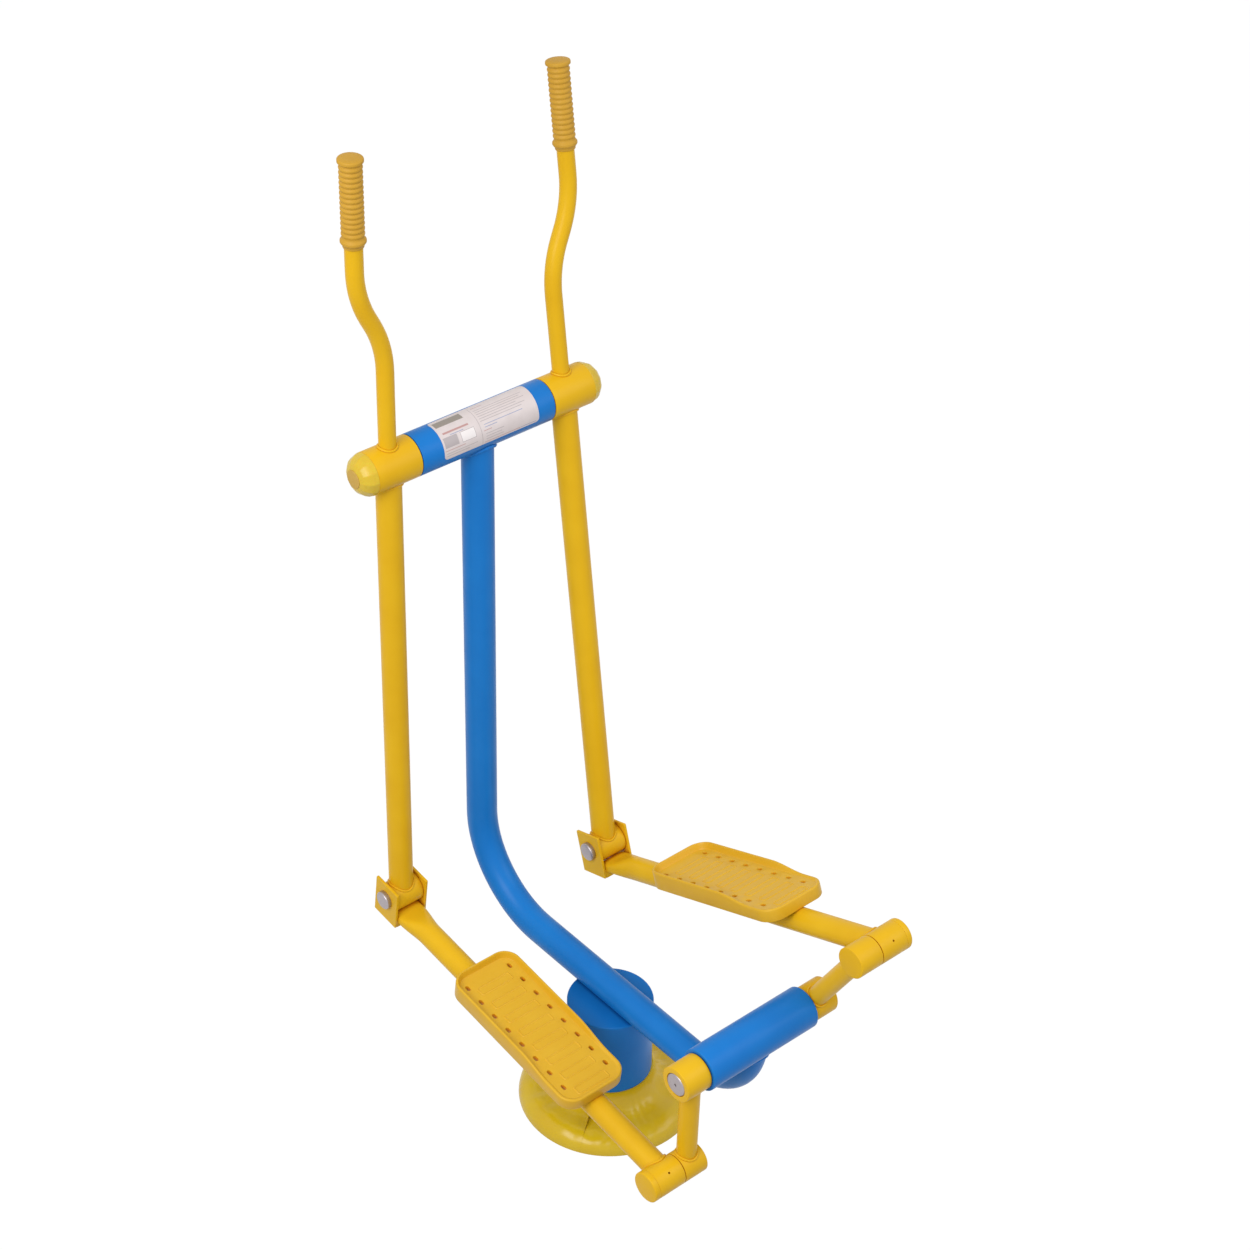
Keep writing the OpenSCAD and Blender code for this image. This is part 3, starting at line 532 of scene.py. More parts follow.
def label_foil():
    """The foil, as rows across it from one end of the wrap to the other, with round corners."""
    bm = bmesh.new()
    sheet = bm.loops.layers.uv.new("foil")
    girth = label_r * LABEL_WRAP
    stops = [LABEL_CORNER * (1 - math.cos(math.pi / 2 * i / 8)) for i in range(9)]
    stops += [LABEL_CORNER + (girth - 2 * LABEL_CORNER) * i / 40 for i in range(1, 40)]
    stops += [girth - stop for stop in stops[8::-1]]
    length = label_end_x - label_start_x
    spots = {}
    rows = []
    for stop in stops:
        near = min(stop, girth - stop)
        cut = 0
        if near < LABEL_CORNER:
            cut = LABEL_CORNER - math.sqrt(LABEL_CORNER ** 2 - (LABEL_CORNER - near) ** 2)
        angle = LABEL_START + LABEL_WRAP * stop / girth
        row = []
        for k in range(LABEL_COLUMNS + 1):
            x = label_start_x + cut + (length - 2 * cut) * k / LABEL_COLUMNS
            vert = bm.verts.new((x, label_r * math.cos(angle), label_r * math.sin(angle)))
            spots[vert] = (x - label_start_x, stop)
            row.append(vert)
        rows.append(row)
    for one, two in zip(rows, rows[1:]):
        for k in range(LABEL_COLUMNS):
            bm.faces.new((one[k], one[k + 1], two[k + 1], two[k]))
    rim = rows[0] + [row[-1] for row in rows[1:-1]]
    rim += rows[-1][::-1] + [row[0] for row in rows[-2:0:-1]]
    shrink = (HUB_D / 2 - GLUE_T) / label_r
    skirt = []
    for vert in rim:
        skirt.append(bm.verts.new((vert.co.x, vert.co.y * shrink, vert.co.z * shrink)))
        spots[skirt[-1]] = spots[vert]
    bridge(bm, rim, skirt)
    for face in bm.faces:
        for loop in face.loops:
            loop[sheet].uv = [value / mm / 100 for value in spots[loop.vert]]
    return bm


# Printed polyester foil: a pale rosy grey, satin, with faded inks in grey, brick and slate blue
FOIL = "D9CFCF"
FOIL_DUSTY = "CDC2C1"
HAIRLINE = "9E9497"
TAUPE_INK = "8F877E"
GREY_INK = "ADA4A6"
BRICK_INK = "B98F8C"
SLATE_INK = "8A93B4"
PANEL_WHITE = "E6E0E0"
label_print, tree, shader = new_finish("printed_polyester_foil")
place = add(tree, "UVMap", uv_map="foil")
spot = add(tree, "SeparateXYZ", {"Vector": place.outputs["UV"]})


def block(tree, spot, left, upper_edge, width, height):
    """A mask that is 1 in a rectangle of the label, given in mm from its upper left corner."""
    sides = []
    for name, start, size in (("X", left, width), ("Y", upper_edge, height)):
        middle = (start + size / 2) / 100
        sides.append(add(tree, "Math", {
            0: spot.outputs[name], 1: middle, 2: size / 200,
        }, operation="COMPARE"))
    both = {0: sides[0].outputs[0], 1: sides[1].outputs[0]}
    return add(tree, "Math", both, operation="MULTIPLY").outputs[0]


soil = add(tree, "TexNoise", {"Vector": place.outputs["UV"], "Scale": 6.0, "Detail": 4.0})
ink = add(
    tree, "Mix", {0: soil.outputs["Fac"], 6: srgb(FOIL), 7: srgb(FOIL_DUSTY)}, data_type="RGBA"
).outputs[2]
# Each mark has its left edge, its upper edge, its width and its height in mm, and its ink
marks = [
    (4, 8.5, 57, 14, TAUPE_INK), (79, 8, 0.7, 73, HAIRLINE), (8, 35, 53, 3.4, BRICK_INK),
    (20, 41.6, 28, 1.1, SLATE_INK), (3.5, 44, 28.5, 18, GREY_INK), (38.7, 44.5, 29.3, 18, HAIRLINE),
    (39.4, 45.2, 27.9, 16.6, PANEL_WHITE), (2, 66, 42, 1.1, BRICK_INK), (84, 10.5, 24, 1.1, BRICK_INK),
    (88, 48, 82, 1.1, SLATE_INK), (88, 52.6, 26, 1.1, SLATE_INK), (84, 58, 17, 1.1, BRICK_INK),
    (84, 79, 76, 1.1, BRICK_INK), (161, 79, 32, 1.1, SLATE_INK),
]
for i, width in enumerate((101, 94, 101, 81, 97, 88)):
    marks.append((84, 18 + 4.6 * i, width, 1.0, GREY_INK))
for i, width in enumerate((38, 33, 36)):
    marks.append((87, 64 + 4.8 * i, width, 1.0, GREY_INK))
for i, width in enumerate((65, 48)):
    marks.append((4, 71.5 + 4.6 * i, width, 1.0, GREY_INK))
for left, upper_edge, width, height, colour in marks:
    mask = block(tree, spot, left, upper_edge, width, height)
    ink = add(tree, "Mix", {0: mask, 6: ink, 7: srgb(colour)}, data_type="RGBA").outputs[2]
dull = add(tree, "MapRange", {"Value": soil.outputs["Fac"], "To Min": 0.32, "To Max": 0.48})
fit(tree, shader, {"Base Color": ink, "Roughness": dull.outputs["Result"], "IOR": 1.5})
make_piece(
    "label", label_foil(), label_print, "frame", "label_foil", "label_plate",
    at=across(crossbar_axis),
)

# Top axle, nuts and bearings
# The arms turn on sealed bearings over a bright steel axle, held by a nut at each end.
# All of it sits inside the crossbar, the hubs and the domed caps.

# Bright zinc plated steel: a lilac grey metal, satin, with fine turning marks
BRIGHT = "B8B0B2"
BRIGHT_DARK = "A59DA1"
bright_steel, tree, shader = new_finish("bright_zinc_plated_steel")
place = add(tree, "TexCoord")
stretch = add(tree, "Mapping", {"Vector": place.outputs["Object"], "Scale": (0.1, 1.0, 1.0)})
turning = add(tree, "TexNoise", {
    "Vector": stretch.outputs["Vector"], "Scale": 1 / (3 * mm), "Detail": 3.0,
}).outputs["Fac"]
dull = add(tree, "MapRange", {"Value": turning, "To Min": 0.34, "To Max": 0.48})
tint = add(tree, "Mix", {0: turning, 6: srgb(BRIGHT), 7: srgb(BRIGHT_DARK)}, data_type="RGBA")
fit(tree, shader, {
    "Base Color": tint.outputs[2], "Metallic": 1.0, "Roughness": dull.outputs["Result"],
})

# Oiled bearing steel: darker and smoother than the plated parts
OILED = "77736F"
OILED_DARK = "5B5650"
bearing_steel, tree, shader = new_finish("oiled_bearing_steel")
oil, tint = mottled(tree, 12 * mm, 3.0, OILED, OILED_DARK)
dull = add(tree, "MapRange", {"Value": oil, "To Min": 0.18, "To Max": 0.4})
fit(tree, shader, {"Base Color": tint, "Metallic": 1.0, "Roughness": dull.outputs["Result"]})
dress(bright_steel, "top_axle", "axle_nut_left", "axle_nut_right", "crank_shaft")
dress(bearing_steel, "crank_bearing_left", "crank_bearing_right")
for side_name, side in SIDES:
    dress(bearing_steel, side_name + "_hub_bearing", side_name + "_rear_plug")

# Arm hubs
# Each arm turns on a hub of the same 76 mm tube as the crossbar, with a thin gap between them.
# The handle is welded into the hub from above and the lower arm from below.

# Yellow powder coat: a warm school bus yellow, with amber shade painted into the corners
yellow_coat = powder_coat("yellow_powder_coat", "E2B31A", "D8A513", "C87C08", full=1.0)
HANDLE_D = 30 * mm
ARM_D = 45 * mm
arm_frames = {}
for side_name, side in SIDES:
    low_pin = joints[side_name + "_bar_pivot"]
    swing = math.atan2(low_pin.y - crossbar_axis.y, crossbar_axis.z - low_pin.z)
    arm_frames[side_name] = across(crossbar_axis, side) @ Matrix.Rotation(swing, 4, "X")
    hub_start, hub_end = reach_across(side_name + "_hub")
    arm_x = abs(low_pin.x)
    make_piece(
        side_name + "_arm_hub", pipe(hub_start, hub_end, HUB_D / 2, HUB_BORE / 2), yellow_coat,
        side_name + "_arm", "yellow_paint", side_name + "_hub", at=across(crossbar_axis, side),
    )
    for tube, tube_d, flip in (("handle", HANDLE_D, 0), ("lower_arm", ARM_D, math.pi)):
        weld_bead(
            side_name + "_weld_hub_to_" + tube, saddle(arm_x, tube_d / 2, HUB_D / 2), yellow_coat,
            side_name + "_arm", "yellow_paint",
            at=arm_frames[side_name] @ Matrix.Rotation(flip, 4, "X"),
        )
    dress(yellow_coat, side_name + "_handle", side_name + "_lower_arm")

# Domed caps
# A blow moulded cap closes the outer end of each hub. Its dome has flat facets, as the mould
# was cut, and a flat disc is glued into its tip.
DOME_H = 27 * mm
DOME_WALL = 3 * mm
SPIGOT = 7 * mm
DISC_D = 33 * mm
DISC_T = 2 * mm
FACETS = 12
DOME_BANDS = 4
FACET_EDGE = math.radians(1.6)
FACET_START = 1.2 * mm
FACET_FADE = 5 * mm


def domed_cap():
    """The cap, from its spigot in the hub, over the dome to the recess for the disc, and back."""
    flat_r = HUB_D / 2 - DOME_H
    recess = DOME_H - DISC_T / 2
    line = [(-SPIGOT, HUB_BORE / 2 - DOME_WALL), (-SPIGOT, HUB_BORE / 2), (0, HUB_BORE / 2)]
    line += [(0, HUB_D / 2 - 0.6 * mm), (0.8 * mm, HUB_D / 2)]
    last = math.asin(recess / DOME_H)
    for i in range(1, DOME_BANDS + 1):
        angle = last * i / DOME_BANDS
        for k in (-1, 0, 1):
            near = angle + FACET_EDGE * (k - 1 if i == DOME_BANDS else k)
            line.append((DOME_H * math.sin(near), flat_r + DOME_H * math.cos(near)))
    line += [(recess, DISC_D / 2 + 0.5 * mm), (recess - 1 * mm, DISC_D / 2 + 0.3 * mm)]
    line += [(recess - 1 * mm, 0)]
    bm = turned(line, sides=FACETS * 10)
    for vert in bm.verts:
        spread = Vector((vert.co.y, vert.co.z))
        if vert.co.x < FACET_START or spread.length < DISC_D / 2:
            continue
        angle = math.atan2(spread.y, spread.x) % (math.tau / FACETS) - math.pi / FACETS
        share = min(1, (vert.co.x - FACET_START) / FACET_FADE)
        flat = math.cos(math.pi / FACETS) / math.cos(angle)
        vert.co.y *= 1 + share * (flat - 1)
        vert.co.z *= 1 + share * (flat - 1)
    return bm


# Blow moulded polyethylene: a lemon yellow, glossy and a little waxy
CAP_LEMON = "D6B832"
CAP_DEEP = "CEAB28"
cap_poly, tree, shader = new_finish("blow_moulded_polyethylene")
tone, wax = mottled(tree, 18 * mm, 2.0, CAP_LEMON, CAP_DEEP)
dull = add(tree, "MapRange", {"Value": tone, "To Min": 0.22, "To Max": 0.34})
fit(tree, shader, {
    "Base Color": wax, "Roughness": dull.outputs["Result"], "IOR": 1.5,
    "Specular IOR Level": 0.35, "Subsurface Weight": 0.08, "Subsurface Scale": 0.004,
})

# Moulded disc: a flat tan plastic without gloss
DISC_TAN = "CDA854"
DISC_DEEP = "BC9646"
disc_plastic, tree, shader = new_finish("matt_moulded_plastic")
grain, tan = mottled(tree, 2 * mm, 3.0, DISC_TAN, DISC_DEEP)
relief = add(tree, "Bump", {"Height": grain, "Strength": 0.2, "Distance": 0.3 * mm})
fit(tree, shader, {
    "Base Color": tan, "Roughness": 0.6, "Normal": relief.outputs["Normal"], "IOR": 1.5,
    "Specular IOR Level": 0.3,
})
for side_name, side in SIDES:
    at_hub_end = across(crossbar_axis, side) @ Matrix.Translation((hub_end, 0, 0))
    make_piece(
        side_name + "_dome", domed_cap(), cap_poly, side_name + "_arm", "cap_plastic",
        side_name + "_domed_cap", at=at_hub_end,
    )
    face = DOME_H + DISC_T / 4
    disc = turned(rounded([
        (DOME_H - DISC_T, 0, 0), (DOME_H - DISC_T, DISC_D / 2, 0.3 * mm),
        (face, DISC_D / 2, 0.7 * mm), (face, 0, 0),
    ]))
    make_piece(
        side_name + "_disc", disc, disc_plastic, side_name + "_arm", "disc_plastic",
        side_name + "_cap_disc", at=at_hub_end,
    )

# Hand grips
# A soft sleeve pushed on the end of each handle, with a collar below, fourteen ribs round it
# and a flat cap above. It is moulded in one piece and turns a little browner with use.
GRIP_START = 424 * mm
GRIP_LEN = 152 * mm
GRIP_D = 38 * mm
GRIP_RIM_D = 42 * mm
GRIP_FOOT_D = 34 * mm
COLLAR_H = 19 * mm
COLLAR_MID = 11 * mm
GRIP_CAP_H = 11.4 * mm
GROOVE = 1.6 * mm
RIBS = 14
HANDLE_STEP = 52 * mm


def grip():
    """The grip along X, from its foot to its cap."""
    core = GRIP_D / 2 - GROOVE
    rib_start = COLLAR_H
    rib_end = GRIP_LEN - GRIP_CAP_H
    pitch = (rib_end - rib_start) / RIBS
    line = [(0, HANDLE_D / 2)]
    line += rounded([
        (0, GRIP_FOOT_D / 2 - 1 * mm, 0), (0, GRIP_FOOT_D / 2, 0.8 * mm),
        (4 * mm, GRIP_FOOT_D / 2 + 0.6 * mm, 3 * mm), (COLLAR_MID - 2 * mm, GRIP_RIM_D / 2, 1.8 * mm),
        (COLLAR_MID + 1.5 * mm, GRIP_RIM_D / 2, 1.5 * mm), (COLLAR_H - 3 * mm, core + 1 * mm, 2.5 * mm),
        (rib_start, core, 0),
    ])
    for i in range(RIBS):
        for k in range(1, 11):
            turn = math.tau * k / 10
            rise = (0.5 - 0.5 * math.cos(turn)) ** 0.7
            line.append((rib_start + (i + k / 10) * pitch, core + GROOVE * rise))
    line += rounded([
        (rib_end + 0.5 * mm, core, 0), (rib_end + 2.5 * mm, core + 0.6 * mm, 1.5 * mm),
        (GRIP_LEN - 7 * mm, GRIP_RIM_D / 2, 1.6 * mm), (GRIP_LEN - 1.2 * mm, GRIP_RIM_D / 2, 2.6 * mm),
        (GRIP_LEN, GRIP_RIM_D / 2 - 9 * mm, 3 * mm), (GRIP_LEN, 0, 0),
    ])
    return turned(line, sides=72)


# Soft PVC: a dull honey yellow with a faint grain, worn paler in patches where hands rub it, and with
# shade painted darker into the grooves between the ribs
GRIP_HONEY = "C99B34"
GRIP_WORN = "BD8E28"
GRIP_GROOVE_SHADE = "B97F18"
soft_pvc, tree, shader = new_finish("soft_moulded_pvc")
place = add(tree, "TexCoord")
grain = add(tree, "TexNoise", {"Vector": place.outputs["Object"], "Scale": 1 / (3 * mm), "Detail": 4.0})
hands, worn = mottled(tree, 45 * mm, 2.0, GRIP_HONEY, GRIP_WORN)
# Painted shade in the grooves and corners
deep = painted_shade_share(tree, 5 * mm, 0.9, 0.35, 0.9)
colour = add(tree, "Mix", {0: deep, 6: worn, 7: srgb(GRIP_GROOVE_SHADE)}, data_type="RGBA")
relief = add(tree, "Bump", {"Height": grain.outputs["Fac"], "Strength": 0.15, "Distance": 0.3 * mm})
dull = add(tree, "MapRange", {"Value": hands, "To Min": 0.46, "To Max": 0.6})
fit(tree, shader, {
    "Base Color": colour.outputs[2], "Roughness": dull.outputs["Result"],
    "Normal": relief.outputs["Normal"], "IOR": 1.5, "Specular IOR Level": 0.25,
})
for side_name, side in SIDES:
    at_grip = Matrix.Translation((arm_x + HANDLE_STEP, 0, GRIP_START))
    at_grip = arm_frames[side_name] @ at_grip @ Matrix.Rotation(-math.pi / 2, 4, "Y")
    make_piece(
        side_name + "_hand_grip", grip(), soft_pvc, side_name + "_arm", "grip_rubber",
        side_name + "_grip", at=at_grip,
    )

# Lower arm bushes
# A short thick tube is welded across the lower end of each arm and turns on the pivot pin,
# between the two plates of the foot bar's clevis.
ARM_LEN = 943.3 * mm
BUSH_D = 57 * mm
PIN_D = 20 * mm
for side_name, side in SIDES:
    bush_start, bush_end = reach_across(side_name + "_arm_bush")
    at_bush = arm_frames[side_name] @ Matrix.Translation((0, 0, -ARM_LEN))
    make_piece(
        side_name + "_bush", pipe(bush_start, bush_end, BUSH_D / 2, PIN_D / 2 + 0.05 * mm, 1.2 * mm),
        yellow_coat, side_name + "_arm", "yellow_paint", side_name + "_arm_bush", at=at_bush,
    )
    weld_bead(
        side_name + "_weld_arm_to_bush", saddle(arm_x, ARM_D / 2, BUSH_D / 2), yellow_coat,
        side_name + "_arm", "yellow_paint", radius=2.2 * mm, at=at_bush,
    )

# Crank housing
# A 78 mm tube across the rear end of the main tube holds the two bearings of the crank shaft.
# Its ends are turned square, with a small broken edge that catches the light.
CRANK_HOUSING_D = 78 * mm
housing_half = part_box("crank_housing")[1][0]
make_piece(
    "crank_tube", pipe(-housing_half, housing_half, CRANK_HOUSING_D / 2, HUB_BORE / 2, 1.2 * mm),
    blue_coat, "frame", "blue_paint", "crank_housing", at=across(crank_axis),
)
weld_bead(
    "weld_tube_to_crank_housing", saddle(0, POST_D / 2, CRANK_HOUSING_D / 2), blue_coat,
    "frame", "blue_paint", at=across(crank_axis) @ DOWNWARD,
)

# Cranks
# A hub on each end of the shaft carries a short arm of 36 mm tube, and the arm ends in a
# 57 mm stub beside the foot bar's bush. A silver disc covers the bolt in each hub.
CRANK_HUB_D = 66 * mm
SHAFT_D = 30 * mm
CRANK_ARM_D = 36 * mm
REAR_D = 57 * mm
CRANK_R = 213 * mm
SILVER_D = 43 * mm
SILVER_DEPTH = 4.5 * mm
SILVER_PROUD = 0.9 * mm
DOT_D = 5 * mm
for side_name, side in SIDES:
    start, end = reach_across("crank_hub_" + side_name)
    face = end - SILVER_DEPTH
    hub = turned(rounded([
        (start, SHAFT_D / 2, 0), (start, CRANK_HUB_D / 2, EDGE), (end, CRANK_HUB_D / 2, 1.4 * mm),
        (end, SILVER_D / 2 + 0.6 * mm, 0.5 * mm), (face, SILVER_D / 2 + 0.6 * mm, 0),
        (face, SHAFT_D / 2, 0),
    ]), closed=True)
    make_piece(
        side_name + "_crank_hub", hub, yellow_coat, "crank", "yellow_paint",
        "crank_hub_" + side_name, at=across(crank_axis, side),
    )
    silver_face = end + SILVER_PROUD
    disc = turned(rounded([
        (face, 0, 0), (face, SILVER_D / 2, 0), (silver_face, SILVER_D / 2, 2.8 * mm),
        (silver_face, DOT_D / 2, 0.4 * mm), (silver_face - 3 * mm, DOT_D / 2, 0),
        (silver_face - 3 * mm, 0, 0),
    ]))
    make_piece(
        side_name + "_silver_disc", disc, bright_steel, "crank", "bright_steel",
        "crank_disc_" + side_name, at=across(crank_axis, side),
    )
    rear_pin = centre_line("crank_end_" + side_name)
    turn = math.atan2(rear_pin.y - crank_axis.y, crank_axis.z - rear_pin.z)
    crank_frame = across(crank_axis, side) @ Matrix.Rotation(turn, 4, "X")
    end_start, end_end = reach_across("crank_end_" + side_name)
    stub = turned(rounded([
        (end_start, 0, 0), (end_start, REAR_D / 2, 1.2 * mm), (end_end, REAR_D / 2, 0.7 * mm),
        (end_end, 0, 0),
    ]))
    make_piece(
        side_name + "_crank_stub", stub, yellow_coat, "crank", "yellow_paint",
        "crank_end_" + side_name, at=crank_frame @ Matrix.Translation((0, 0, -CRANK_R)),
    )
    crank_low, crank_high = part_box("crank_arm_" + side_name)
    crank_arm_x = abs(crank_low[0] + crank_high[0]) / 2
    weld_bead(
        side_name + "_weld_crank_to_hub",
        saddle(crank_arm_x, CRANK_ARM_D / 2, CRANK_HUB_D / 2, inner=start + BEAD_R / 2),
        yellow_coat, "crank", "yellow_paint", at=crank_frame @ DOWNWARD,
    )
    weld_bead(
        side_name + "_weld_crank_to_stub", saddle(crank_arm_x, CRANK_ARM_D / 2, REAR_D / 2),
        yellow_coat, "crank", "yellow_paint", at=crank_frame @ Matrix.Translation((0, 0, -CRANK_R)),
    )
    dress(yellow_coat, "crank_arm_" + side_name)

# Foot bars
# A 45 mm tube runs from the crank to the lower end of the arm. Its front end is pressed flat
# between the plates of a bent clevis, and its rear end is welded to a bush with a grease hole.
BAR_RISE = 36 * mm
BUSH_WALL = 6 * mm
CAP_LEN = 11 * mm
GREASE_D = 4 * mm
CLEVIS_W = 71 * mm
CLEVIS_T = 5 * mm
CLEVIS_LEN = 64 * mm
CLEVIS_H = 86 * mm
CLEVIS_NOSE = 32 * mm
CLEVIS_DROP = 52 * mm
CLEVIS_TILT = {"left": 0, "right": math.radians(5)}
WEB_H = 17 * mm
BAR_TIP = 15 * mm
BUSH_GAP = 0.5 * mm
PRESSED_W = 59 * mm
PRESSED_H = 22 * mm
PRESSED_FROM = 92 * mm
PRESSED_TO = 30 * mm
PRESSED_SQUARE = 1.6
TIP_RUN = 7 * mm
PIN_CAP_D = 35 * mm
PIN_CAP_T = 9.5 * mm
GREASE_TURN = {"left": math.radians(27), "right": math.radians(68)}


def fill(bm, rings):
    """A flat face inside the first ring, with the other rings as its holes."""
    edges = []
    for verts in rings:
        edges += [bm.edges.get(pair) for pair in zip(verts, verts[1:] + verts[:1])]
    bmesh.ops.triangle_fill(bm, edges=edges, use_beauty=True)


def slab(bm, outline, holes, low, high, edge):
    """A plate with broken edges: its outline and its holes are loops of (x, y) points."""
    def ring(loop, inset, height):
        count = len(loop)
        verts = []
        for i, (x, y) in enumerate(loop):
            before = Vector(loop[i - 1])
            after = Vector(loop[(i + 1) % count])
            along = (after - before).normalized()
            out = Vector((along.y, -along.x))
            verts.append(bm.verts.new((x - out.x * inset, y - out.y * inset, height)))
        return verts
    caps = {low: [], high: []}
    for loop in [outline] + holes:
        levels = ((edge, low), (0, low + edge), (0, high - edge), (edge, high))
        rings = [ring(loop, inset, height) for inset, height in levels]
        for one, two in zip(rings, rings[1:]):
            bridge(bm, one, two)
        caps[low].append(rings[0])
        caps[high].append(rings[-1])
    for rings in caps.values():
        fill(bm, rings)


def round_corners(low, high, radius, steps=4):
    """The outline of a rectangle with round corners, anticlockwise."""
    return rounded([
        (low[0], low[1], radius), (high[0], low[1], radius),
        (high[0], high[1], radius), (low[0], high[1], radius),
    ], steps)


def circle(radius, count=48):
    """A round hole's outline about the origin, clockwise."""
    turns = [-math.tau * i / count for i in range(count)]
    return [(radius * math.cos(t), radius * math.sin(t)) for t in turns]


def clevis():
    """Two plates with a hole for the pin at the origin, and the web between their rear ends."""
    bm = bmesh.new()
    lie_on_side = Matrix((
        (0, 0, 1, 0), (1, 0, 0, 0), (0, 1, 0, 0), (0, 0, 0, 1),
    ))
    rear_y = CLEVIS_NOSE - CLEVIS_LEN
    outline = round_corners(
        (rear_y, -CLEVIS_DROP), (CLEVIS_NOSE, CLEVIS_H - CLEVIS_DROP), 2 * mm
    )
    hole = circle(PIN_D / 2)
    for plate_x in (-CLEVIS_W / 2, CLEVIS_W / 2 - CLEVIS_T):
        plate = bmesh.new()
        slab(plate, outline, [hole], plate_x, plate_x + CLEVIS_T, 0.7 * mm)
        plate.transform(lie_on_side)
        merge(bm, plate)
    web = bmesh.new()
    inner = CLEVIS_W / 2 - CLEVIS_T
    slab(
        web, round_corners((-inner, -CLEVIS_DROP), (inner, WEB_H - CLEVIS_DROP), 0.5 * mm), [],
        rear_y, rear_y + CLEVIS_T, 0.5 * mm,
    )
    web.transform(Matrix(((1, 0, 0, 0), (0, 0, 1, 0), (0, 1, 0, 0), (0, 0, 0, 1))))
    merge(bm, web)
    return bm


def merge(bm, other):
    """Adds the faces of another mesh to this one."""
    verts = {vert: bm.verts.new(vert.co) for vert in other.verts}
    for face in other.faces:
        bm.faces.new([verts[vert] for vert in face.verts])
    other.free()


def squashed(angle, wide, high, square):
    """A point of a round section pressed towards a rounded oblong."""
    c, s = math.cos(angle), math.sin(angle)
    power = 2 / (2 + square)
    return (
        wide * math.copysign(abs(c) ** power, c),
        high * math.copysign(abs(s) ** power, s),
    )


def ease(share):
    """A share from 0 to 1 that starts and ends softly."""
    share = min(1, max(0, share))
    return share * share * (3 - 2 * share)


def foot_bar(bar_len):
    """The tube, round behind, pressed flat and so wider towards the tip between the plates."""
    bm = bmesh.new()
    sides = 72
    stations = [REAR_D / 2, 120 * mm, 300 * mm, 480 * mm]
    pressed = PRESSED_FROM - PRESSED_TO
    stations += [bar_len - PRESSED_FROM + pressed * i / 28 for i in range(29)]
    stations += [bar_len - BAR_TIP + TIP_RUN * i / 4 for i in range(5)]
    rings = []
    for y in stations:
        flat = ease((y - bar_len + PRESSED_FROM) / pressed)
        wide = (ARM_D + (PRESSED_W - ARM_D) * flat) / 2
        high = (ARM_D + (PRESSED_H - ARM_D) * flat) / 2
        if y > bar_len - BUSH_D / 2:
            high = min(high, BAR_RISE - math.sqrt((BUSH_D / 2 + BUSH_GAP) ** 2 - (bar_len - y) ** 2))
        ring = []
        for i in range(sides):
            x, z = squashed(math.tau * i / sides, wide, high, PRESSED_SQUARE * flat)
            at = y
            if y == stations[0]:
                at = math.sqrt((REAR_D / 2) ** 2 - z ** 2) - 0.5 * mm
            ring.append(bm.verts.new((x, at, z)))
        rings.append(ring)
    for one, two in zip(rings, rings[1:]):
        bridge(bm, one, two)
    bm.faces.new(rings[0])
    bm.faces.new(rings[-1])
    return bm


def rear_bush(start, end, turn):
    """The bush along X, with its grease hole drilled through the wall on the upper side."""
    bm = pipe(start, end, REAR_D / 2, REAR_D / 2 - BUSH_WALL, 0.7 * mm)
    bmesh.ops.recalc_face_normals(bm, faces=bm.faces)
    drill = bmesh.new()
    bmesh.ops.create_cone(
        drill, cap_ends=True, segments=24, radius1=GREASE_D / 2, radius2=GREASE_D / 2,
        depth=REAR_D / 2,
        matrix=Matrix.Translation(((start + end) / 2, 0, 0)) @ Matrix.Rotation(turn, 4, "X")
        @ Matrix.Translation((0, 0, REAR_D / 2)),
    )
    cut = []
    for name, part in (("tube", bm), ("drill", drill)):
        mesh = bpy.data.meshes.new(name)
        part.to_mesh(mesh)
        part.free()
        cut.append(bpy.data.objects.new(name, mesh))
        bpy.context.scene.collection.objects.link(cut[-1])
    drilled = cut[0].modifiers.new("drilled", "BOOLEAN")
    drilled.object = cut[1]
    drilled.solver = "EXACT"
    bpy.context.view_layer.update()
    shape = cut[0].evaluated_get(bpy.context.evaluated_depsgraph_get()).to_mesh()
    result = bmesh.new()
    result.from_mesh(shape)
    for piece in cut:
        bpy.data.objects.remove(piece)
    return result


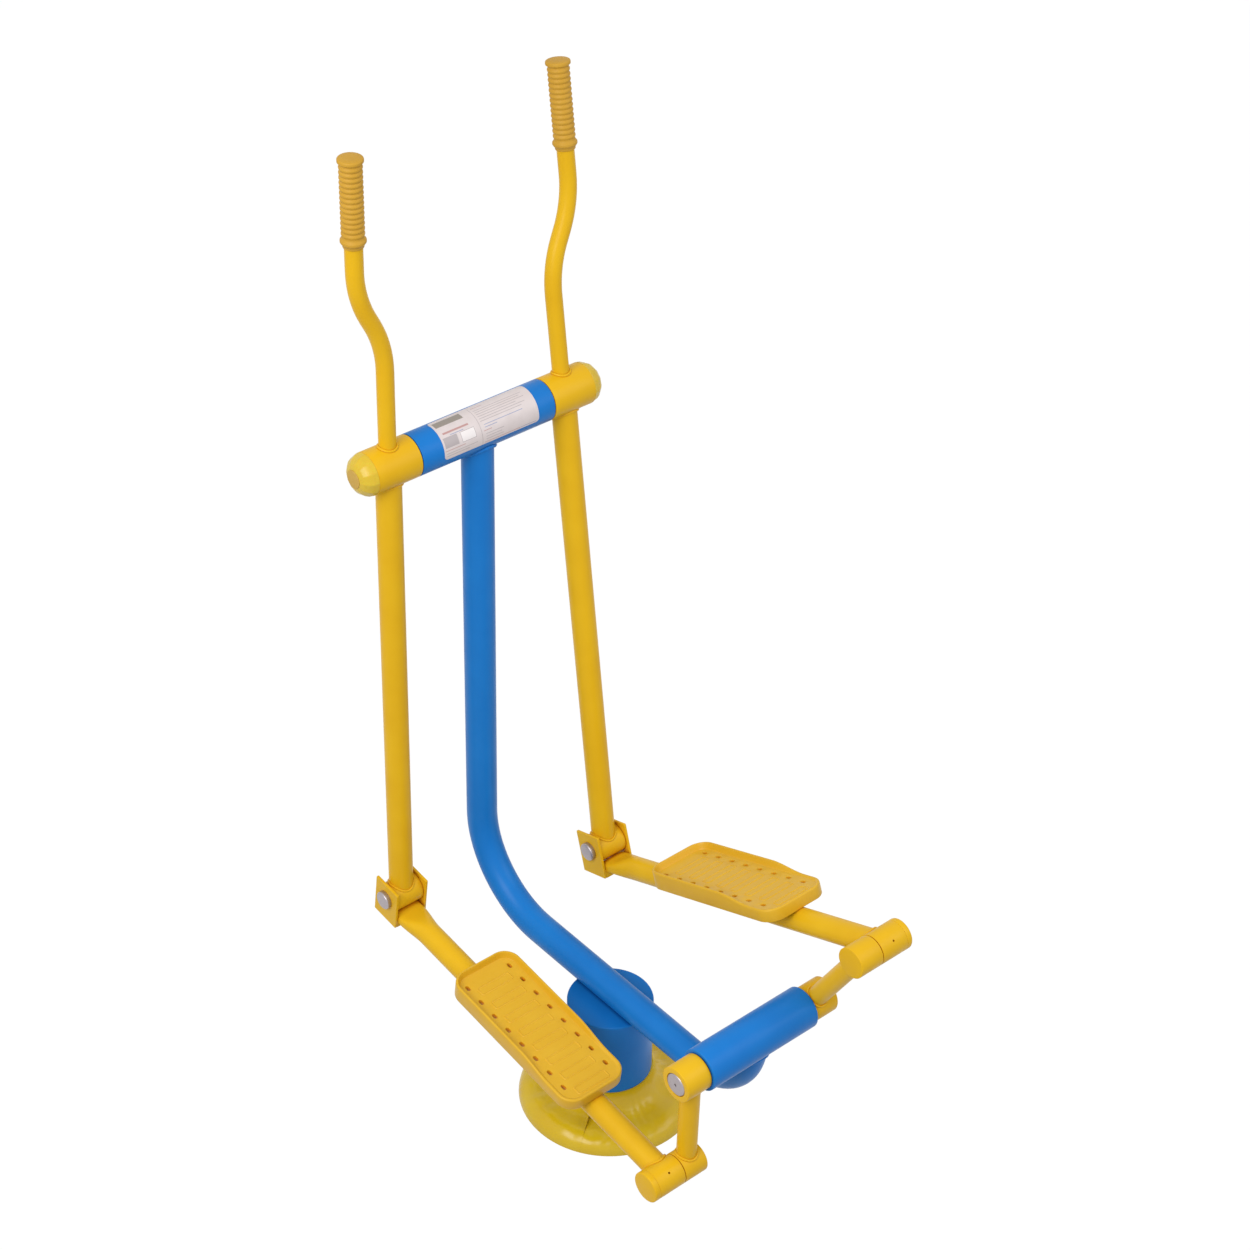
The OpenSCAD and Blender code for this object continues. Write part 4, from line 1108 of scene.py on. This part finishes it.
bar_frames = {}
for side_name, side in SIDES:
    rear = centre_line(side_name + "_rear_bush")
    pin = joints[side_name + "_bar_pivot"]
    reach = math.hypot(pin.y - rear.y, pin.z - rear.z)
    slope = math.atan2(pin.z - rear.z, pin.y - rear.y) - math.asin(BAR_RISE / reach)
    bar_len = math.sqrt(reach ** 2 - BAR_RISE ** 2)
    at_bar = across(rear, side) @ Matrix.Rotation(slope, 4, "X")
    bar_frames[side_name] = at_bar
    body = side_name + "_foot_bar"
    on_bar = at_bar @ Matrix.Translation((arm_x, 0, 0))
    make_piece(
        side_name + "_bar", foot_bar(bar_len), yellow_coat, body, "yellow_paint", body, at=on_bar,
    )
    at_pin = on_bar @ Matrix.Translation((0, bar_len, BAR_RISE))
    make_piece(
        side_name + "_clevis_plates", clevis(), yellow_coat, body, "yellow_paint",
        side_name + "_clevis", at=at_pin @ Matrix.Rotation(CLEVIS_TILT[side_name], 4, "X"),
    )
    bush_start, bush_end = reach_across(side_name + "_rear_bush")
    make_piece(
        side_name + "_rear_tube", rear_bush(bush_start, bush_end, GREASE_TURN[side_name]),
        yellow_coat, body, "yellow_paint", side_name + "_rear_bush", at=at_bar,
    )
    weld_bead(
        side_name + "_weld_bar_to_bush",
        saddle(arm_x, ARM_D / 2, REAR_D / 2, inner=bush_start + 0.8 * mm),
        yellow_coat, body, "yellow_paint", at=at_bar @ Matrix.Rotation(-math.pi / 2, 4, "X"),
    )
    cap = turned(rounded([
        (bush_end, 0, 0), (bush_end, REAR_D / 2, 0.7 * mm), (bush_end + CAP_LEN, REAR_D / 2, 2 * mm),
        (bush_end + CAP_LEN, 0, 0),
    ]))
    make_piece(
        side_name + "_rear_cap", cap, yellow_coat, body, "yellow_paint",
        side_name + "_end_cap", at=at_bar,
    )
    pin_side = Matrix.Translation((side * arm_x - CLEVIS_W / 2, rear.y, rear.z))
    pin_side = pin_side @ Matrix.Rotation(slope, 4, "X") @ Matrix.Translation((0, bar_len, BAR_RISE))
    button = turned(rounded([
        (0, 0, 0), (0, PIN_CAP_D / 2, 0.3 * mm), (-PIN_CAP_T, PIN_CAP_D / 2, 3 * mm),
        (-PIN_CAP_T, 0, 0),
    ], 8))
    make_piece(
        side_name + "_pin_button", button, bright_steel, body, "bright_steel",
        side_name + "_pin_cap", at=pin_side,
    )
    dress(bright_steel, side_name + "_pivot_pin")
    dress(yellow_coat, side_name + "_foot_seats")

# Footplates
# Each is one deep moulding with a rim, low at the heel and tall to the front, eight treads
# drawn in raised ribs and two rows of drain holes. It sits on two plates across the bar.
FOOT_LEN = 344 * mm
FOOT_W = 137 * mm
FOOT_CORNER = 32 * mm
FOOT_BACK = {"left": 184 * mm, "right": 198 * mm}
FOOT_WALL = 4 * mm
FOOT_GAP = 0.5 * mm
FLOOR_H = 21 * mm
TALL_RIM = 13 * mm
LOW_RIM = 2.5 * mm
SLOPE_START = 58 * mm
SLOPE_END = 141 * mm
HOLE_ROWS = 8
HOLE_COLUMN = 47.5 * mm
HOLE_INSET = 31 * mm
HOLE_TAIL = 40.7 * mm
HOLE_LEN = 12 * mm
HOLE_W = 6.5 * mm
SLEEVE_H = 12 * mm
TREAD_LEN = 72 * mm
TREAD_W = 20 * mm
TREAD_H = 1.1 * mm
TREAD_CORNER = 4.5 * mm
SEAT_INSET = 67 * mm
RIB_T = 3 * mm
RIB_SPAN = 80 * mm
RIB_LOW = 3.5 * mm
RIB_ASIDE = 11 * mm
RIB_SUNK = 0.2 * mm
LIP_R = 3.2 * mm
LIP_W = 3.6 * mm
RIM_SLOPE_W = 5.4 * mm


def foot_outline(inset):
    """The footplate's outline drawn in from its edge, as points in a fixed order."""
    corner = FOOT_CORNER - inset
    wide = FOOT_W / 2 - FOOT_CORNER
    long = FOOT_LEN - FOOT_CORNER
    points = []
    for centre_x, centre_y, first in (
        (wide, long, 0), (-wide, long, 90), (-wide, FOOT_CORNER, 180), (wide, FOOT_CORNER, 270),
    ):
        for i in range(13):
            angle = math.radians(first + 90 * i / 12)
            points.append((centre_x + corner * math.cos(angle), centre_y + corner * math.sin(angle)))
        if first == 90:
            run = [long - (long - FOOT_CORNER) * i / 40 for i in range(1, 40)]
            points += [(-wide - corner, y) for y in run]
        if first == 270:
            run = [FOOT_CORNER + (long - FOOT_CORNER) * i / 40 for i in range(1, 40)]
            points += [(wide + corner, y) for y in run]
    return points


def rim_height(y):
    """Height of the rim above the floor at a distance from the heel."""
    return LOW_RIM + (TALL_RIM - LOW_RIM) * ease((y - SLOPE_START) / (SLOPE_END - SLOPE_START))


def drain_hole(x, y, inset, steps=8):
    """The outline of one hole, drawn in from its edge: two straight sides and two round ends."""
    radius = HOLE_W / 2 - inset
    half = (HOLE_LEN - HOLE_W) / 2
    points = []
    for end in (0, 1):
        for i in range(steps + 1):
            angle = math.pi * (end + i / steps)
            along = half * (1 - 2 * end) + radius * math.sin(angle)
            points.append((x + radius * math.cos(angle), y + along))
    return points


def tread_outline(middle, inset):
    """The outline of one tread, drawn in from its edge by a distance in mm."""
    half_x = TREAD_LEN / 2 - inset * mm
    half_y = TREAD_W / 2 - inset * mm
    return round_corners(
        (-half_x, middle - half_y), (half_x, middle + half_y), TREAD_CORNER - inset * mm, 5
    )


def footplate():
    """The footplate, with its heel on the X axis and its skirt's lower edge at height 0."""
    bm = bmesh.new()

    def ring(points, height):
        heights = height if isinstance(height, list) else [height] * len(points)
        return [bm.verts.new((x, y, z)) for (x, y), z in zip(points, heights)]

    outer = foot_outline(0)
    rims = [rim_height(y) for x, y in outer]
    under = FLOOR_H - FOOT_WALL
    shell = [
        ring(foot_outline(FOOT_WALL), under), ring(foot_outline(FOOT_WALL), 0.8 * mm),
        ring(foot_outline(FOOT_WALL - 0.8 * mm), 0), ring(foot_outline(1 * mm), 0),
        ring(foot_outline(0.3 * mm), 0.3 * mm), ring(outer, 1 * mm),
    ]
    for i in range(6):
        angle = math.pi / 2 * i / 5
        inset = LIP_R * (1 - math.cos(angle))
        drop = LIP_R * (1 - math.sin(angle))
        shell.append(ring(foot_outline(inset), [FLOOR_H + rim - drop for rim in rims]))
    for i in range(1, 11):
        outline = foot_outline(LIP_W + RIM_SLOPE_W * i / 10)
        shell.append(ring(outline, [FLOOR_H + rim * (1 - ease(i / 10)) for rim in rims]))
    for one, two in zip(shell, shell[1:]):
        bridge(bm, one, two)

    floor_loops = [shell[-1]]
    under_loops = [shell[0]]
    pitch = (FOOT_LEN - HOLE_INSET - HOLE_TAIL) / (HOLE_ROWS - 1)
    for i in range(HOLE_ROWS):
        row_y = FOOT_LEN - HOLE_INSET - i * pitch
        for x in (-HOLE_COLUMN, HOLE_COLUMN):
            hole = [
                ring(drain_hole(x, row_y, inset * mm), height)
                for inset, height in (
                    (-0.9, FLOOR_H), (-0.25, FLOOR_H - 0.25 * mm), (0, FLOOR_H - 0.9 * mm),
                    (0, FLOOR_H - SLEEVE_H), (-1.5, FLOOR_H - SLEEVE_H), (-1.5, under),
                )
            ]
            for one, two in zip(hole, hole[1:]):
                bridge(bm, one, two)
            floor_loops.append(hole[0])
            under_loops.append(hole[-1])
        tread_y = row_y - pitch / 2
        tread = [
            ring(tread_outline(tread_y, inset), FLOOR_H + TREAD_H * rise)
            for inset, rise in (
                (0, 0), (0.6, 0.5), (1.1, 0.9), (1.6, 1), (2.1, 0.9), (2.6, 0.5), (3.2, 0),
            )
        ]
        for one, two in zip(tread, tread[1:]):
            bridge(bm, one, two)
        floor_loops.append(tread[0])
        fill(bm, [tread[-1]])
    fill(bm, floor_loops)
    fill(bm, under_loops)

    seat_offset = FOOT_LEN / 2 - SEAT_INSET
    ribs = []
    for x in (-RIB_SPAN / 2, RIB_SPAN / 2 - RIB_T):
        ribs.append(((x, FOOT_WALL), (x + RIB_T, FOOT_LEN - FOOT_WALL)))
    for seat in (-seat_offset, seat_offset):
        for aside in (-RIB_ASIDE, RIB_ASIDE):
            middle = FOOT_LEN / 2 + seat + aside
            reach = RIB_SPAN / 2 - RIB_T
            ribs.append(((-reach, middle - RIB_T / 2), (reach, middle + RIB_T / 2)))
    for rib_low, rib_top in ribs:
        rib = round_corners(rib_low, rib_top, 0.6 * mm, 2)
        slab(bm, rib, [], RIB_LOW, under + RIB_SUNK, 0.4 * mm)
    return bm


# Moulded polypropylene: an even golden yellow, satin, with a fine leather grain on the floor
# and worn paler on the treads. Amber shade is painted into the holes and corners.
PLATE_GOLD = "D3A21C"
PLATE_WORN = "DBAE2A"
PLATE_CORNER_SHADE = "DE8A16"
plate_poly, tree, shader = new_finish("moulded_polypropylene")
place = add(tree, "TexCoord")
flow, worn = mottled(tree, 50 * mm, 3.0, PLATE_GOLD, PLATE_WORN)
# Painted amber shade in the holes and corners
deep = painted_shade_share(tree, SHADE_REACH, 0.8, 0.2, 1.0)
colour = add(tree, "Mix", {0: deep, 6: worn, 7: srgb(PLATE_CORNER_SHADE)}, data_type="RGBA")
grain = add(tree, "TexNoise", {"Vector": place.outputs["Object"], "Scale": 1 / (3 * mm), "Detail": 3.0})
relief = add(tree, "Bump", {"Height": grain.outputs["Fac"], "Strength": 0.05, "Distance": 0.4 * mm})
dull = add(tree, "MapRange", {"Value": flow, "To Min": 0.34, "To Max": 0.46})
fit(tree, shader, {
    "Base Color": colour.outputs[2], "Roughness": dull.outputs["Result"],
    "Normal": relief.outputs["Normal"], "IOR": 1.5, "Specular IOR Level": 0.28,
})
for side_name, side in SIDES:
    at_plate = bar_frames[side_name] @ Matrix.Translation(
        (arm_x, FOOT_BACK[side_name], ARM_D / 2 + FOOT_GAP)
    )
    make_piece(
        side_name + "_tread_plate", footplate(), plate_poly, side_name + "_foot_bar",
        "footplate_plastic", side_name + "_footplate", at=at_plate,
    )

# Studio
# A white floor and a pale room, with one large soft lamp above on the left and a weaker one
# behind on the right. The floor looks white and keeps a faint shadow.
ROOM_LIGHT = 0.7
FLOOR_GREY = "A0A0A0"
FLOOR_GLOW = 1.09
FLOOR_SHARE = 0.9
FLOOR_SPAN = 40
LAMP_AWAY = 4
room = bpy.data.worlds.new("room")
bpy.context.scene.world = room
room.use_nodes = True
tree = room.node_tree
seen = add(tree, "LightPath")
direct = add(tree, "Math", {
    0: seen.outputs["Is Camera Ray"], 1: seen.outputs["Is Glossy Ray"],
}, operation="MAXIMUM")
through = add(tree, "Math", {
    0: direct.outputs[0], 1: seen.outputs["Is Transmission Ray"],
}, operation="MAXIMUM")
power = add(tree, "MapRange", {"Value": through.outputs[0], "To Min": ROOM_LIGHT, "To Max": 1.0})
fit(tree, tree.nodes["Background"], {"Color": (1, 1, 1, 1), "Strength": power.outputs["Result"]})

floor_mesh = bpy.data.meshes.new("floor")
corners = [
    (x * FLOOR_SPAN, y * FLOOR_SPAN, 0) for x, y in ((-1, -1), (1, -1), (1, 1), (-1, 1))
]
floor_mesh.from_pydata(corners, [], [(0, 1, 2, 3)])
floor = bpy.data.objects.new("floor", floor_mesh)
bpy.context.scene.collection.objects.link(floor)
white_floor, tree, shader = new_finish("white_floor")
seen = add(tree, "LightPath")
mirrored = add(tree, "Math", {
    0: seen.outputs["Is Glossy Ray"], 1: seen.outputs["Is Transmission Ray"],
}, operation="MAXIMUM")
in_view = add(tree, "Math", {
    0: seen.outputs["Is Camera Ray"], 1: mirrored.outputs[0],
}, operation="MAXIMUM")
fit(tree, shader, {"Base Color": srgb(FLOOR_GREY), "Roughness": 0.9, "Specular IOR Level": 0.1})
glow = add(tree, "Emission", {"Color": (1, 1, 1, 1), "Strength": FLOOR_GLOW})
share = add(tree, "Math", {0: in_view.outputs[0], 1: FLOOR_SHARE}, operation="MULTIPLY")
mixed = add(tree, "MixShader", {0: share.outputs[0], 1: shader.outputs[0], 2: glow.outputs[0]})
tree.links.new(mixed.outputs[0], tree.nodes["Material Output"].inputs["Surface"])
floor_mesh.materials.append(white_floor)

LAMPS = (
    ("key", (-0.85, -0.25, 0.7), 98, 2.4),
    ("fill", (0.5, -0.65, 0.6), 34, 2.4),
)
target = Vector((0, 0, 0.8))
for name, direction, power, size in LAMPS:
    lamp_data = bpy.data.lights.new(name, "AREA")
    lamp_data.energy = power
    lamp_data.size = size
    lamp = bpy.data.objects.new(name, lamp_data)
    lamp.location = target + Vector(direction).normalized() * LAMP_AWAY
    lamp.rotation_euler = (lamp.location - target).to_track_quat("Z", "Y").to_euler()
    bpy.context.scene.collection.objects.link(lamp)

bpy.context.scene.view_settings.view_transform = "Standard"
